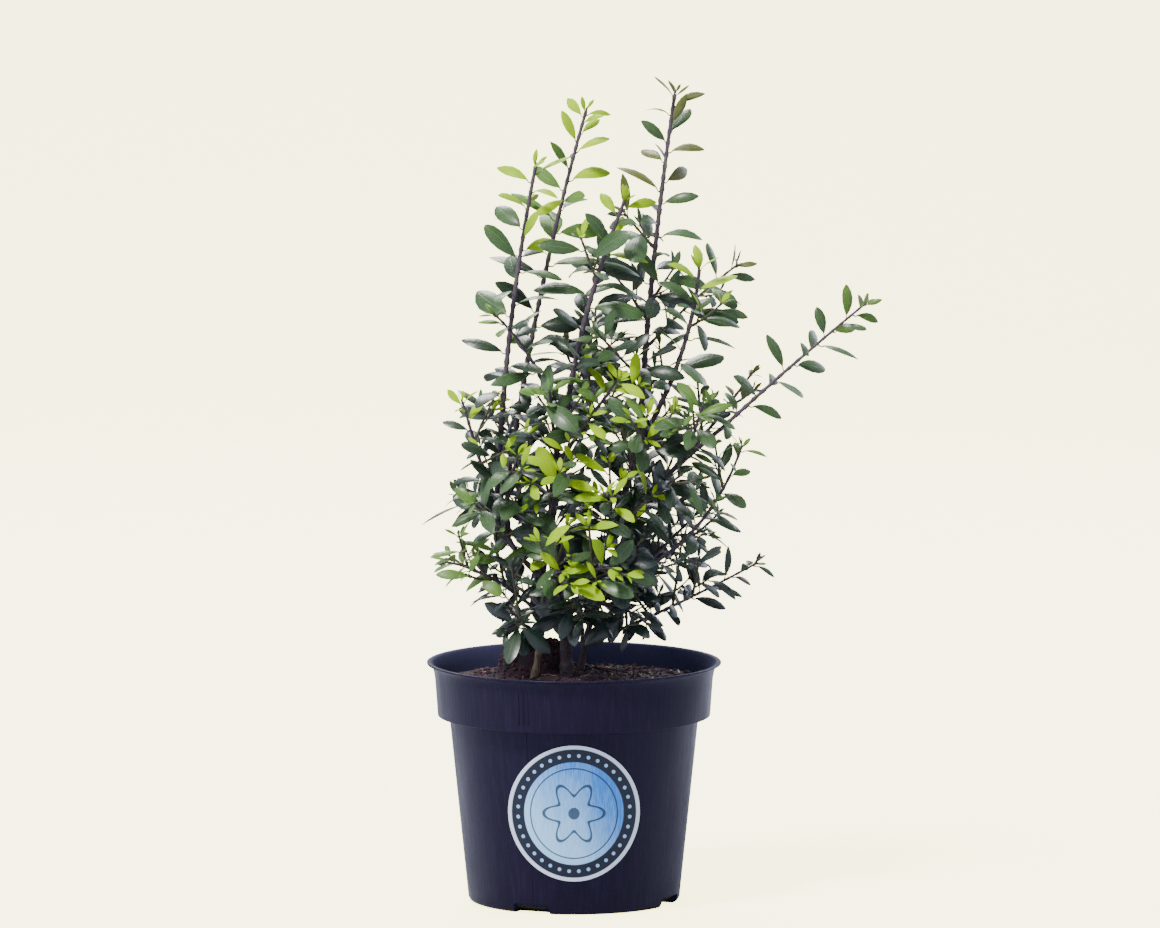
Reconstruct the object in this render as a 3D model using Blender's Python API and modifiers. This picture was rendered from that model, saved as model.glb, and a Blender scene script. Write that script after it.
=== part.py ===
"""A young japanese holly in a black nursery pot.

The plant is one clump of three stems. Boughs rise from the stems, and stems and boughs
carry masses of foliage: a leading twig with side twigs and leaves, fused into one solid.
The sizes below are in millimetres and the meshes are in metres. The origin is the middle
of the pot's flat underside, +Z is up, and the front of the pot faces -Y.
"""

import math
import random
from collections import namedtuple

import bmesh
import bpy
from mathutils import Matrix, Vector
from mathutils.bvhtree import BVHTree

OBJECT_NAME = "japanese_holly"
METRES_PER_MM = 0.001
GAP = 0.3
WELD = 0.000001

# The pot
POT_HEIGHT = 139.0
LIP_RADIUS = 85.0
LIP_THICKNESS = 1.3
COLLAR_TOP_RADIUS = 80.8
COLLAR_FOOT_RADIUS = 78.7
COLLAR_FOOT_HEIGHT = 107.9
BODY_TOP_RADIUS = 72.0
BODY_FOOT_RADIUS = 60.8
FOOT_ROUNDING = 2.6
WALL = 1.4
FLOOR = 2.0
TURNED_STEPS = 40
SOIL_STEPS = 28
DRAIN_WIDTH = 22.0
DRAIN_HEIGHT = 5.7
DRAIN_DEPTH = 20.0
DRAIN_COUNT = 4
DRAIN_TURN = -24.0

# The collar's wall flares a little under the lip's flange: radius and distance below the top
RIM_INSIDE = ((79.5, 7.0), (80.6, 3.0), (81.6, 0.0))
RIM_OUTSIDE = ((82.6, 1.7), (81.3, 4.0), (80.4, 8.0))

# The round label on the front of the pot
LABEL_WIDTH = 75.5
LABEL_HEIGHT = 80.0
LABEL_MIDDLE = 60.1
LABEL_THICKNESS = 0.4
LABEL_SIDES = 48

# The soil: its level at the wall, the low crown round the stems and the heap behind them
SOIL_LEVEL = 126.5
SOIL_RINGS = (14.0, 30.0, 46.0, 63.0)
CROWN_RISE = 6.5
CROWN_SPREAD = 30.0
HEAP_RISE = 17.5
HEAP_SPREAD = 21.0
HEAP_PLACE = (-23.0, 20.0)
CRUMB_RISE = 0.7
STEM_SEAT = 1.6

# Limbs
LIMB_SIDES = 6
LIMB_STEPS = 5
FLARE_RISE = 12.0
FLARE_WIDTH = 1.0

# A shoot that leaves another's side starts this far from it, and its foot, which has few
# sides, reaches this share of its radius towards that side
SIDE_GAP = 0.25
FOOT_FACET = 0.85

# Twigs and leaves
TWIG_SIDES = 3
TWIG_BEND = 0.35
TWIG_TIP_RADIUS = 0.6
SIDE_TWIG_RADIUS = 0.85
SIDE_TWIG_ANGLE = 52.0
SIDE_TWIG_LIFT = 0.35
GOLDEN_ANGLE = 137.5
LEAF_WIDTH = 0.39
LEAF_THICKNESS = 0.9
LEAF_THICKEST = 0.16
LEAF_SUNK = 0.45
LEAF_LEAN_OLD = 66.0
LEAF_LEAN_YOUNG = 44.0
LEAF_ARCH = 0.18
LEAF_ROLL = 34.0
CROWN_MIDDLE = (8.0, 40.0)
SMALLEST_LEAF = 9.0
LOWEST_LEAF = 143.0
SOIL_CLEARANCE = 2.0
CLEARANCE = 0.75

# A leaf's outline, round from its root: share of its length and share of its half width
LEAF_OUTLINE = ((0, 0), (0.36, 1), (0.76, 0.96), (1, 0), (0.76, -0.96), (0.36, -1))
LEAF_CLEAR_OF_TWIG = 0.2

Stem = namedtuple("Stem", "foot tip bow foot_radius tip_radius")
Bough = namedtuple("Bough", "carrier share tip bow foot_radius tip_radius")
Mass = namedtuple("Mass", "carrier share tip bow habit bare sides")
Habit = namedtuple("Habit", "radius tip leaf spacing reach light")
Light = namedtuple("Light", "tip side above droop")

# A stem's foot is only its place on the soil: the soil gives its height
STEMS = {
    "stem_left": Stem((-23, -9), (-16.5, -14, 186), (1, 0, 0), 2.0, 1.8),
    "stem_middle": Stem((-4, -5), (-9, -4, 184), (1, 0, 0), 3.8, 2.5),
    "stem_right": Stem((3, 4), (11, 7, 168), (0, 1, 0), 2.1, 1.8),
}

# A bough starts at a share of its carrier's length, and at share 1 it carries on from the tip
BOUGHS = {
    "bough_left": Bough("stem_left", 1, (-43, -16, 218), (0, 0, -2), 1.7, 1.5),
    "bough_left_front": Bough("bough_left", 1, (-43, -15, 258), (-1, 0, 0), 1.6, 1.5),
    "bough_left_back": Bough("bough_left", 0.8, (-34, 5, 270), (-2, 0, 0), 1.6, 1.5),
    "bough_right": Bough("stem_middle", 0.84, (29, -6, 223), (0, 0, -2), 2.3, 2.0),
    "bough_right_upright": Bough("bough_right", 0.78, (38, 2, 276), (1, 0, 0), 1.9, 1.6),
    "bough_right_arm": Bough("bough_right", 1, (85, -12, 276), (0, -3, 2), 1.7, 1.3),
    "bough_right_low": Bough("stem_right", 1, (44, -8, 196), (0, 2, 0), 1.6, 1.3),
    "bough_middle": Bough("stem_middle", 1, (-5, -10, 282), (-6, 4, 0), 1.9, 1.5),
    "bough_back_left": Bough("stem_middle", 0.55, (-30, 36, 216), (0, 3, -2), 1.7, 1.3),
    "bough_back_right": Bough("stem_right", 0.73, (30, 38, 210), (0, 3, -2), 1.6, 1.2),
    "bough_back_middle": Bough("bough_middle", 0.4, (4, 34, 264), (-2, 3, 0), 1.5, 1.2),
}

# Which way leaves face: how much of their light comes from the twig's tip, the side and above,
# and how far they may hang
OPEN_LIGHT = Light(0.15, 0.55, 0.65, 0.1)
SIDE_LIGHT = Light(0.35, 0.5, 0.7, 0.1)
LOW_LIGHT = Light(0.35, 0.5, 0.7, 0.55)

# How a mass grows: its leading twig's radius at its foot and tip, its longest leaf, the space
# between its leaves, the reach of its longest side twig and its light
HABITS = {
    "spire": Habit(1.5, 0.9, 30, 11.4, 26, OPEN_LIGHT),
    "arm": Habit(1.3, 0.7, 27, 10.6, 25, OPEN_LIGHT),
    "spray": Habit(1.1, 0.6, 26, 10.4, 26, SIDE_LIGHT),
    "shade": Habit(1.1, 0.6, 28, 11.8, 24, LOW_LIGHT),
}

# A mass starts like a bough. Bare is the leafless share of its leading twig, and sides is
# the number of side twigs.
MASSES = {
    "spire_left": Mass("bough_left_front", 1, (-22, -14, 428), (-3, -2, 0), "spire", 0.08, 0),
    "spire_left_tall": Mass("bough_left_back", 1, (7, 14, 457), (-3, 0, 0), "spire", 0.08, 0),
    "spire_middle": Mass("bough_middle", 1, (29, -16, 408), (-4, 0, 0), "spire", 0.0, 2),
    "spire_right": Mass("bough_right_upright", 1, (58, 10, 467), (-2, 0, 0), "spire", 0.1, 5),
    "spire_fork": Mass("bough_right_upright", 0.7, (72, -14, 368), (6, 0, 0), "spire", 0.1, 2),
    "spray_upper_left": Mass("bough_middle", 0.88, (-45, -26, 343), (4, 0, 4), "arm", 0.15, 0),
    "arm_right": Mass("bough_right_arm", 1, (167, -14, 348), (0, 0, 1), "arm", 0.0, 0),
    "spray_right_upper": Mass("bough_right_arm", 0.35, (102, 6, 305), (0, 4, -3), "arm", 0.3, 2),
    "spray_right_rising": Mass("bough_right_low", 1, (96, -26, 266), (5, 0, -6), "arm", 0.1, 3),
    "arm_right_low": Mass("stem_right", 0.45, (104, -12, 197), (0, -4, -1), "arm", 0.25, 3),
    "spire_left_low": Mass("bough_left_front", 0.1, (-64, -28, 293), (0, 0, 0), "arm", 0.1, 2),
    "arm_left_low": Mass("stem_left", 0.66, (-72, -26, 200), (0, -2, 5), "spray", 0.3, 4),
    "spray_left": Mass("bough_left", 0.6, (-56, -42, 238), (0, 0, 2), "spray", 0.2, 2),
    "spray_left_heart": Mass("bough_left_front", 0.3, (-32, -46, 264), (0, -3, 0), "spray", 0.2, 2),
    "spray_front": Mass("stem_left", 0.85, (-6, -62, 199), (0, -2, 5), "spray", 0.35, 3),
    "spray_front_right": Mass("stem_middle", 0.85, (21, -60, 201), (0, -2, 5), "spray", 0.4, 3),
    "spray_low_left": Mass("stem_left", 0.4, (-38, -42, 164), (0, 0, 5), "shade", 0.45, 2),
    "spray_low_front": Mass("stem_middle", 0.5, (4, -45, 170), (0, 0, 6), "shade", 0.45, 1),
    "spray_low_right": Mass("stem_middle", 0.66, (42, -30, 165), (0, 0, 8), "shade", 0.4, 2),
    "spray_middle": Mass("bough_middle", 0.7, (24, -30, 305), (0, -2, 0), "spray", 0.25, 3),
    "spray_middle_left": Mass("bough_middle", 0.76, (-14, -38, 300), (0, -3, 0), "spray", 0.2, 2),
    "spray_heart": Mass("bough_middle", 0.42, (-8, -46, 254), (0, -4, 0), "spray", 0.25, 2),
    "spray_heart_right": Mass("bough_right", 0.7, (22, -46, 240), (0, -4, 0), "spray", 0.2, 3),
    "spray_right_front": Mass("bough_right_upright", 0.4, (42, -38, 286), (0, -4, 0), "spray", 0.15, 3),
    "spray_right_outer": Mass("bough_right_arm", 0.62, (74, -34, 292), (0, -3, 0), "spray", 0.2, 1),
    "spray_right_middle": Mass("bough_right_arm", 0.2, (62, -34, 252), (0, -4, 0), "shade", 0.2, 2),
    "spray_right_inner": Mass("bough_right_low", 0.75, (68, 6, 221), (0, 4, 0), "spray", 0.2, 2),
    "spray_right_low": Mass("bough_right", 0.35, (32, -46, 194), (0, -3, 3), "shade", 0.25, 2),
    "spray_back_left_low": Mass("stem_middle", 0.4, (-46, 44, 182), (0, 0, 6), "shade", 0.3, 2),
    "spray_back_left": Mass("bough_back_left", 0.6, (-64, 46, 232), (0, 0, 3), "shade", 0.15, 2),
    "spray_back_left_top": Mass("bough_back_left", 1, (-42, 46, 286), (2, 0, 0), "spray", 0.05, 3),
    "spray_back": Mass("bough_back_left", 0.45, (-6, 70, 238), (0, 0, 3), "shade", 0.2, 3),
    "spray_back_low": Mass("stem_right", 0.3, (2, 64, 178), (0, 0, 6), "shade", 0.3, 1),
    "spray_back_right_low": Mass("bough_back_right", 0.4, (52, 62, 188), (0, 0, 3), "shade", 0.2, 2),
    "spray_back_right": Mass("bough_back_right", 0.7, (72, 44, 234), (0, 0, 3), "shade", 0.15, 2),
    "spray_back_right_top": Mass("bough_back_right", 1, (40, 52, 284), (2, 0, 0), "spray", 0.05, 3),
    "spray_back_top": Mass("bough_back_middle", 1, (12, 40, 332), (-2, 0, 0), "spray", 0.0, 3),
}

# Side twigs with a place of their own: share of the leading twig, tip and bow
NAMED_SIDES = {
    "spire_right": (
        (0.13, (15, -24, 331), (0, -3, 0)),
        (0.23, (93, 20, 366), (0, 3, 2)),
        (0.31, (15, 18, 370), (0, 3, 2)),
        (0.37, (56, -6, 366), (0, -2, 0)),
        (0.53, (30, -2, 398), (0, 0, 0)),
    ),
    "spire_left_low": (
        (0.4, (-40, -40, 266), (0, -1, 0)),
        (0.62, (-47, -14, 292), (0, 1, 0)),
    ),
    "arm_right_low": (
        (0.36, (32, -28, 184), (0, 0, 1)),
        (0.5, (62, 10, 206), (0, 0, -1)),
        (0.62, (72, -26, 202), (0, 0, -1)),
    ),
}

# Colours: base colour and roughness
POT_COLOUR = (0.024, 0.026, 0.036, 1.0)
SOIL_COLOUR = (0.065, 0.034, 0.026, 1.0)
LABEL_COLOUR = (0.42, 0.53, 0.60, 1.0)
BARK_COLOUR = (0.085, 0.055, 0.055, 1.0)
TAN_BARK_COLOUR = (0.22, 0.17, 0.09, 1.0)
LEAF_COLOUR = (0.055, 0.13, 0.035, 1.0)
SHADE_LEAF_COLOUR = (0.018, 0.055, 0.035, 1.0)


# Scene set-up

def clear_scene():
    """Remove what the file holds, so that a second run starts clean."""
    for thing in list(bpy.data.objects):
        bpy.data.objects.remove(thing, do_unlink=True)
    for group in list(bpy.data.collections):
        bpy.data.collections.remove(group)


def new_collection(name):
    """Make a collection under the scene."""
    group = bpy.data.collections.new(name)
    bpy.context.scene.collection.children.link(group)
    return group


def plain_material(name, colour, roughness):
    """Give a Principled material of one colour."""
    material = bpy.data.materials.new(name)
    material.use_nodes = True
    shader = material.node_tree.nodes["Principled BSDF"]
    shader.inputs["Base Color"].default_value = colour
    shader.inputs["Roughness"].default_value = roughness
    shader.inputs["Metallic"].default_value = 0.0
    return material


def metres(place):
    """Turn a place in millimetres into metres."""
    return Vector(place) * METRES_PER_MM


def add_object(name, data, group):
    """Put data in an object of its own."""
    thing = bpy.data.objects.new(name, data)
    group.objects.link(thing)
    return thing


def evaluated_mesh(thing):
    """Read an object's mesh with its modifiers applied."""
    depsgraph = bpy.context.evaluated_depsgraph_get()
    depsgraph.update()
    return bpy.data.meshes.new_from_object(thing.evaluated_get(depsgraph))


def smooth(mesh, angle=40.0):
    """Shade a round piece smooth, with sharp edges past the angle."""
    mesh.shade_smooth()
    mesh.set_sharp_from_angle(angle=math.radians(angle))


# The pot, the soil and the label are turned from profiles

def turn_profile(name, outline, group, steps=TURNED_STEPS, closed=False):
    """Turn an outline of (radius, height) pairs about the Z axis."""
    count = len(outline)
    corners = [metres((radius, 0, height)) for radius, height in outline]
    edges = [(index, index + 1) for index in range(count - 1)]
    if closed:
        edges.append((count - 1, 0))
    mesh = bpy.data.meshes.new(name)
    mesh.from_pydata(corners, edges, [])
    thing = add_object(name, mesh, group)
    screw = thing.modifiers.new("turn", "SCREW")
    screw.steps = steps
    screw.render_steps = steps
    screw.use_merge_vertices = True
    screw.merge_threshold = 0.00001
    screw.use_smooth_shade = True
    return thing


def body_radius(height):
    """Outer radius of the pot's tapered body."""
    return BODY_FOOT_RADIUS + (BODY_TOP_RADIUS - BODY_FOOT_RADIUS) * height / COLLAR_FOOT_HEIGHT


def collar_radius(height):
    """Outer radius of the wide collar under the lip."""
    share = (height - COLLAR_FOOT_HEIGHT) / (POT_HEIGHT - COLLAR_FOOT_HEIGHT)
    return COLLAR_FOOT_RADIUS + (COLLAR_TOP_RADIUS - COLLAR_FOOT_RADIUS) * share


def cut_away(thing, cutters):
    """Take every object in a collection out of a solid."""
    cut = thing.modifiers.new("cut", "BOOLEAN")
    cut.operation = "DIFFERENCE"
    cut.operand_type = "COLLECTION"
    cut.collection = cutters
    cut.solver = "EXACT"


def hide_cutter(cutter):
    """Mark an object as a cutter."""
    cutter.hide_render = True
    cutter.display_type = "WIRE"


def build_pot(group):
    """Make the pot: floor, tapered body, wide collar and lip, with drain slots at its foot."""
    inner_step = COLLAR_FOOT_HEIGHT + WALL
    outline = [
        (0, FLOOR),
        (body_radius(FLOOR) - WALL, FLOOR),
        (body_radius(inner_step) - WALL, inner_step),
        (collar_radius(inner_step) - WALL, inner_step),
    ]
    outline.extend((radius, POT_HEIGHT - below) for radius, below in RIM_INSIDE)
    outline.append((LIP_RADIUS, POT_HEIGHT))
    outline.append((LIP_RADIUS, POT_HEIGHT - LIP_THICKNESS))
    outline.extend((radius, POT_HEIGHT - below) for radius, below in RIM_OUTSIDE)
    outline.extend([
        (COLLAR_FOOT_RADIUS, COLLAR_FOOT_HEIGHT),
        (body_radius(COLLAR_FOOT_HEIGHT), COLLAR_FOOT_HEIGHT),
        (body_radius(FOOT_ROUNDING), FOOT_ROUNDING),
        (body_radius(0) - FOOT_ROUNDING, 0),
        (0, 0),
    ])
    pot = turn_profile("pot", outline, group)
    cutters = new_collection("drain_cutters")
    for index in range(DRAIN_COUNT):
        turn = math.radians(DRAIN_TURN - 90 + 360 * index / DRAIN_COUNT)
        bpy.ops.mesh.primitive_cube_add(size=1)
        cutter = bpy.context.object
        cutter.name = f"drain_cutter_{index + 1}"
        cutter.scale = metres((DRAIN_DEPTH, DRAIN_WIDTH, 2 * DRAIN_HEIGHT))
        cutter.rotation_euler = (0, 0, turn)
        cutter.location = metres((math.cos(turn) * BODY_FOOT_RADIUS, math.sin(turn) * BODY_FOOT_RADIUS, 0))
        bpy.context.collection.objects.unlink(cutter)
        cutters.objects.link(cutter)
        hide_cutter(cutter)
    cut_away(pot, cutters)
    pot.data.materials.append(plain_material("black_pot_plastic", POT_COLOUR, 0.45))
    return pot


def soil_height(x, y):
    """Height of the soil: a low crown round the stems and a steep, flat heap behind them."""
    crown = CROWN_RISE * math.exp(-(x * x + y * y) / (2 * CROWN_SPREAD ** 2))
    heap_x = x - HEAP_PLACE[0]
    heap_y = y - HEAP_PLACE[1]
    heap = HEAP_RISE * math.exp(-((heap_x ** 2 + heap_y ** 2) / HEAP_SPREAD ** 2) ** 3)
    return SOIL_LEVEL + crown + heap


def is_low(place):
    """Tell whether a place is too near the pot's rim or the soil for twigs and leaves."""
    return place.z < max(LOWEST_LEAF, soil_height(place.x, place.y) + SOIL_CLEARANCE)


def build_soil(group, stems):
    """Make the soil that fills the pot, with a flat seat for each stem."""
    inner_step = COLLAR_FOOT_HEIGHT + WALL
    floor = FLOOR + GAP
    foot_radius = body_radius(FLOOR) - WALL - GAP
    outline = [(0, SOIL_LEVEL)]
    outline.extend((radius, SOIL_LEVEL) for radius in SOIL_RINGS)
    outline.extend([
        (collar_radius(SOIL_LEVEL) - WALL - GAP, SOIL_LEVEL),
        (collar_radius(inner_step) - WALL - GAP, inner_step + GAP),
        (body_radius(inner_step) - WALL - GAP, inner_step + GAP),
        (foot_radius, floor),
        (0, floor),
    ])
    turned = turn_profile("soil_turned", outline, group, SOIL_STEPS)
    mesh = evaluated_mesh(turned)
    bpy.data.objects.remove(turned)
    crumbs = random.Random("crumbs")
    for vertex in mesh.vertices:
        x, y, z = vertex.co / METRES_PER_MM
        reach = math.hypot(x, y)
        if abs(z - SOIL_LEVEL) < GAP and reach < SOIL_RINGS[-1] + GAP:
            rise = soil_height(x, y) + crumbs.uniform(-CRUMB_RISE, CRUMB_RISE)
            vertex.co.z = rise * METRES_PER_MM
    soil = add_object("soil", mesh, group)
    cutters = new_collection("stem_seat_cutters")
    for name, stem in stems.items():
        height = STEM_SEAT + HEAP_RISE
        radius = stem.foot_radius + FLARE_WIDTH + 2 * GAP
        middle = stem.foot + Vector((0, 0, height / 2 - GAP))
        bpy.ops.mesh.primitive_cylinder_add(
            vertices=LIMB_SIDES * 2,
            radius=radius * METRES_PER_MM,
            depth=height * METRES_PER_MM,
            location=metres(middle),
        )
        cutter = bpy.context.object
        cutter.name = f"{name}_seat_cutter"
        bpy.context.collection.objects.unlink(cutter)
        cutters.objects.link(cutter)
        hide_cutter(cutter)
    cut_away(soil, cutters)
    soil.data.materials.append(plain_material("peat_soil", SOIL_COLOUR, 0.95))
    return soil


def build_label(group):
    """Make the round label: a thin shell round the pot, cut to an oval at the front."""
    low = LABEL_MIDDLE - LABEL_HEIGHT
    high = LABEL_MIDDLE + LABEL_HEIGHT
    inner = GAP
    outer = GAP + LABEL_THICKNESS
    outline = [
        (body_radius(high) + inner, high),
        (body_radius(high) + outer, high),
        (body_radius(low) + outer, low),
        (body_radius(low) + inner, low),
    ]
    label = turn_profile("label", outline, group, closed=True)
    cutters = new_collection("label_cutters")
    bpy.ops.mesh.primitive_cylinder_add(
        vertices=LABEL_SIDES,
        radius=0.5,
        depth=1,
        location=metres((0, -BODY_TOP_RADIUS, LABEL_MIDDLE)),
        rotation=(math.radians(90), 0, 0),
    )
    cutter = bpy.context.object
    cutter.name = "label_cutter"
    cutter.scale = metres((LABEL_WIDTH, LABEL_HEIGHT, BODY_TOP_RADIUS))
    bpy.context.collection.objects.unlink(cutter)
    cutters.objects.link(cutter)
    hide_cutter(cutter)
    cut = label.modifiers.new("round", "BOOLEAN")
    cut.operation = "INTERSECT"
    cut.object = cutter
    cut.solver = "EXACT"
    label.data.materials.append(plain_material("silver_label", LABEL_COLOUR, 0.35))
    return label


# Growth: every limb and twig is a shoot, a bowed line with a taper

class Shoot:
    """A bowed line from a foot to a tip, with a radius at each end, in millimetres."""

    def __init__(self, foot, tip, bow, foot_radius, tip_radius):
        self.foot = Vector(foot)
        self.tip = Vector(tip)
        self.bow = Vector(bow)
        self.foot_radius = foot_radius
        self.tip_radius = tip_radius
        self.length = (self.tip - self.foot).length
        self.steps = max(2, math.ceil(math.sqrt(self.bow.length / TWIG_BEND)))
        self.joints = [self.bowed(step / self.steps) for step in range(self.steps + 1)]

    def bowed(self, share):
        """Give the point of the smooth bow at a share of the length."""
        return self.foot.lerp(self.tip, share) + self.bow * (4 * share * (1 - share))

    def place(self, share):
        """Give the point at a share of the length, on the straight steps between the joints."""
        step = min(int(share * self.steps), self.steps - 1)
        return self.joints[step].lerp(self.joints[step + 1], share * self.steps - step)

    def heading(self, share):
        """Give the direction of growth at a share of the length."""
        return (self.tip - self.foot + self.bow * (4 - 8 * share)).normalized()

    def radius(self, share):
        """Give the radius at a share of the length."""
        return self.foot_radius + (self.tip_radius - self.foot_radius) * share


def across_directions(heading):
    """Give two directions square to a heading."""
    side = heading.cross(Vector((0, 1, 0)))
    if side.length < 0.3:
        side = heading.cross(Vector((1, 0, 0)))
    side.normalize()
    return side, side.cross(heading).normalized()


def shoot_from(carrier, share, tip, bow, foot_radius, tip_radius):
    """Start a shoot on a carrier: clear of its side, or just past its tip."""
    tip = Vector(tip)
    bow = Vector(bow)
    start = carrier.place(share)
    along = carrier.heading(share)
    heading = (tip - start + bow * 4).normalized()
    slant = heading.dot(along)
    if share >= 1:
        clear = GAP + foot_radius * math.sqrt(max(1 - slant * slant, 0))
        return Shoot(start + along * clear, tip, bow, foot_radius, tip_radius)
    square = math.sqrt(max(1 - slant * slant, 0.05))
    clear = (SIDE_GAP + carrier.radius(share) + foot_radius * abs(slant) * FOOT_FACET) / square
    return Shoot(start + heading * clear, tip, bow, foot_radius, tip_radius)


def tube_cage(shoot, swell):
    """Give the corners and faces of a square tube round a shoot, for clearance tests."""
    corners = []
    for step in range(shoot.steps + 1):
        share = step / shoot.steps
        heading = shoot.heading(share)
        side, front = across_directions(heading)
        reach = shoot.radius(share) + swell
        middle = shoot.place(share)
        if step == 0:
            middle = middle - heading * swell
        if step == shoot.steps:
            middle = middle + heading * swell
        for way in (side, front, -side, -front):
            corners.append(middle + way * reach * math.sqrt(2) * 0.9)
    faces = [(0, 1, 2, 3)]
    for step in range(shoot.steps):
        for corner in range(4):
            low = 4 * step + corner
            low_next = 4 * step + (corner + 1) % 4
            faces.append((low, low_next, low_next + 4, low + 4))
    last = 4 * shoot.steps
    faces.append((last, last + 1, last + 2, last + 3))
    return corners, faces


Leaf = namedtuple("Leaf", "root along up length width arch young")


def leaf_point(leaf, along, across, rise):
    """Bend a point of a flat leaf to its arch and put it in place."""
    drop = leaf.arch * leaf.length * along * along
    side = leaf.along.cross(leaf.up)
    return leaf.root + leaf.along * (along * leaf.length) + side * across + leaf.up * (rise - drop)


def leaf_corners(leaf, swell):
    """Give the ring of a leaf's outline and the points over and under its thickest place.

    The blade is flat on top and its underside comes to a low ridge."""
    corners = []
    for share, half in LEAF_OUTLINE:
        along = share + swell * (2 * share - 1) / leaf.length
        across = half * leaf.width / 2 + math.copysign(swell, half) * (half != 0)
        corners.append(leaf_point(leaf, along, across, 0))
    corners.append(leaf_point(leaf, LEAF_THICKEST, 0, swell))
    corners.append(leaf_point(leaf, LEAF_THICKEST, 0, -LEAF_THICKNESS - swell))
    return corners


def leaf_cage(leaf, swell):
    """Give the corners and faces of a leaf, for clearance tests."""
    ring = len(LEAF_OUTLINE)
    faces = []
    for index in range(ring):
        following = (index + 1) % ring
        faces.append((index, following, ring))
        faces.append((following, index, ring + 1))
    return leaf_corners(leaf, swell), faces


def blade_cage(leaf):
    """Give the cage of a leaf without its root, which may touch the leaf's own twig."""
    corners, faces = leaf_cage(leaf, 0)
    ring = len(LEAF_OUTLINE)
    corners[0] = leaf_point(leaf, LEAF_CLEAR_OF_TWIG, 0, 0)
    corners[ring] = leaf_point(leaf, 2 * LEAF_CLEAR_OF_TWIG, 0, 0)
    corners[ring + 1] = leaf_point(leaf, 2 * LEAF_CLEAR_OF_TWIG, 0, -LEAF_THICKNESS)
    return corners, faces


class Space:
    """What already grows: it tells whether a new twig or leaf is clear of the rest."""

    def __init__(self):
        self.twigs = []
        self.leaves = []

    def add_twig(self, shoot):
        """Keep a twig or limb."""
        corners, faces = tube_cage(shoot, 0)
        middle = shoot.place(0.5)
        reach = shoot.length / 2 + shoot.foot_radius
        self.twigs.append((shoot, middle, reach, BVHTree.FromPolygons(corners, faces)))

    def twig_is_clear(self, shoot, carrier):
        """Test a new twig against every twig but the one that carries it."""
        corners, faces = tube_cage(shoot, CLEARANCE)
        cage = BVHTree.FromPolygons(corners, faces)
        middle = shoot.place(0.5)
        reach = shoot.length / 2 + CLEARANCE
        for other, other_middle, other_reach, other_cage in self.twigs:
            if other is carrier or (other_middle - middle).length > reach + other_reach:
                continue
            if cage.overlap(other_cage):
                return False
        return True

    def leaf_is_clear(self, leaf, carrier):
        """Test a new leaf against every twig and leaf, and all but its root against its own twig."""
        corners, faces = leaf_cage(leaf, CLEARANCE)
        if any(is_low(corner) for corner in corners):
            return False
        cage = BVHTree.FromPolygons(corners, faces)
        blade = BVHTree.FromPolygons(*blade_cage(leaf))
        middle = leaf_point(leaf, 0.5, 0, 0)
        reach = leaf.length / 2 + CLEARANCE
        for other, other_middle, other_reach, other_cage in self.twigs:
            if (other_middle - middle).length > reach + other_reach:
                continue
            tested = blade if other is carrier else cage
            if tested.overlap(other_cage):
                return False
        for other_middle, other_reach, other_cage in self.leaves:
            if (other_middle - middle).length > reach + other_reach:
                continue
            if cage.overlap(other_cage):
                return False
        return True

    def add_leaf(self, leaf):
        """Keep a leaf."""
        corners, faces = leaf_cage(leaf, 0)
        middle = leaf_point(leaf, 0.5, 0, 0)
        self.leaves.append((middle, leaf.length / 2 + 1, BVHTree.FromPolygons(corners, faces)))


def grow_limbs():
    """Grow the stems from the soil and the boughs from the stems."""
    limbs = {}
    for name, stem in STEMS.items():
        x, y = stem.foot
        foot = (x, y, soil_height(x, y) - STEM_SEAT)
        limbs[name] = Shoot(foot, stem.tip, stem.bow, stem.foot_radius, stem.tip_radius)
    for name, bough in BOUGHS.items():
        limbs[name] = shoot_from(limbs[bough.carrier], bough.share, bough.tip, bough.bow,
                                 bough.foot_radius, bough.tip_radius)
    return limbs


def grow_leaders(limbs):
    """Grow the leading twig of every mass."""
    leaders = {}
    for name, mass in MASSES.items():
        leaders[name] = shoot_from(limbs[mass.carrier], mass.share, mass.tip, mass.bow,
                                   HABITS[mass.habit].radius, HABITS[mass.habit].tip)
    return leaders


def side_twig(leader, share, tip, bow):
    """Start a side twig inside its leading twig, so that the two fuse."""
    return Shoot(leader.place(share), tip, bow, SIDE_TWIG_RADIUS, TWIG_TIP_RADIUS)


def grow_side_twigs(name, leader, space):
    """Grow the side twigs of a mass: the named ones, or seeded ones in turn round the leader."""
    mass = MASSES[name]
    habit = HABITS[mass.habit]
    draws = random.Random(f"{name} side twigs")
    twigs = []
    for share, tip, bow in NAMED_SIDES.get(name, ()):
        twigs.append(side_twig(leader, share, tip, bow))
        space.add_twig(twigs[-1])
    turn = draws.uniform(0, 360)
    for index in range(mass.sides - len(twigs)):
        spread = (index + 0.5) / mass.sides
        share = mass.bare + (0.85 - mass.bare) * spread
        turn += GOLDEN_ANGLE
        for extra in (0, 40, -40, 80, -80):
            heading = leader.heading(share)
            side, front = across_directions(heading)
            angle = math.radians(turn + extra + draws.uniform(-10, 10))
            out = side * math.cos(angle) + front * math.sin(angle)
            slant = math.radians(SIDE_TWIG_ANGLE + draws.uniform(-8, 8))
            way = heading * math.cos(slant) + out * math.sin(slant)
            reach = habit.reach * (1.1 - 0.45 * spread) * draws.uniform(0.85, 1.1)
            lift = Vector((0, 0, SIDE_TWIG_LIFT * reach))
            start = leader.place(share)
            twig = side_twig(leader, share, start + way * reach + lift, (0, 0, -0.05 * reach))
            low = is_low(twig.tip) or is_low(twig.place(0.5))
            if not low and space.twig_is_clear(twig, leader):
                twigs.append(twig)
                space.add_twig(twig)
                break
    return twigs


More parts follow.
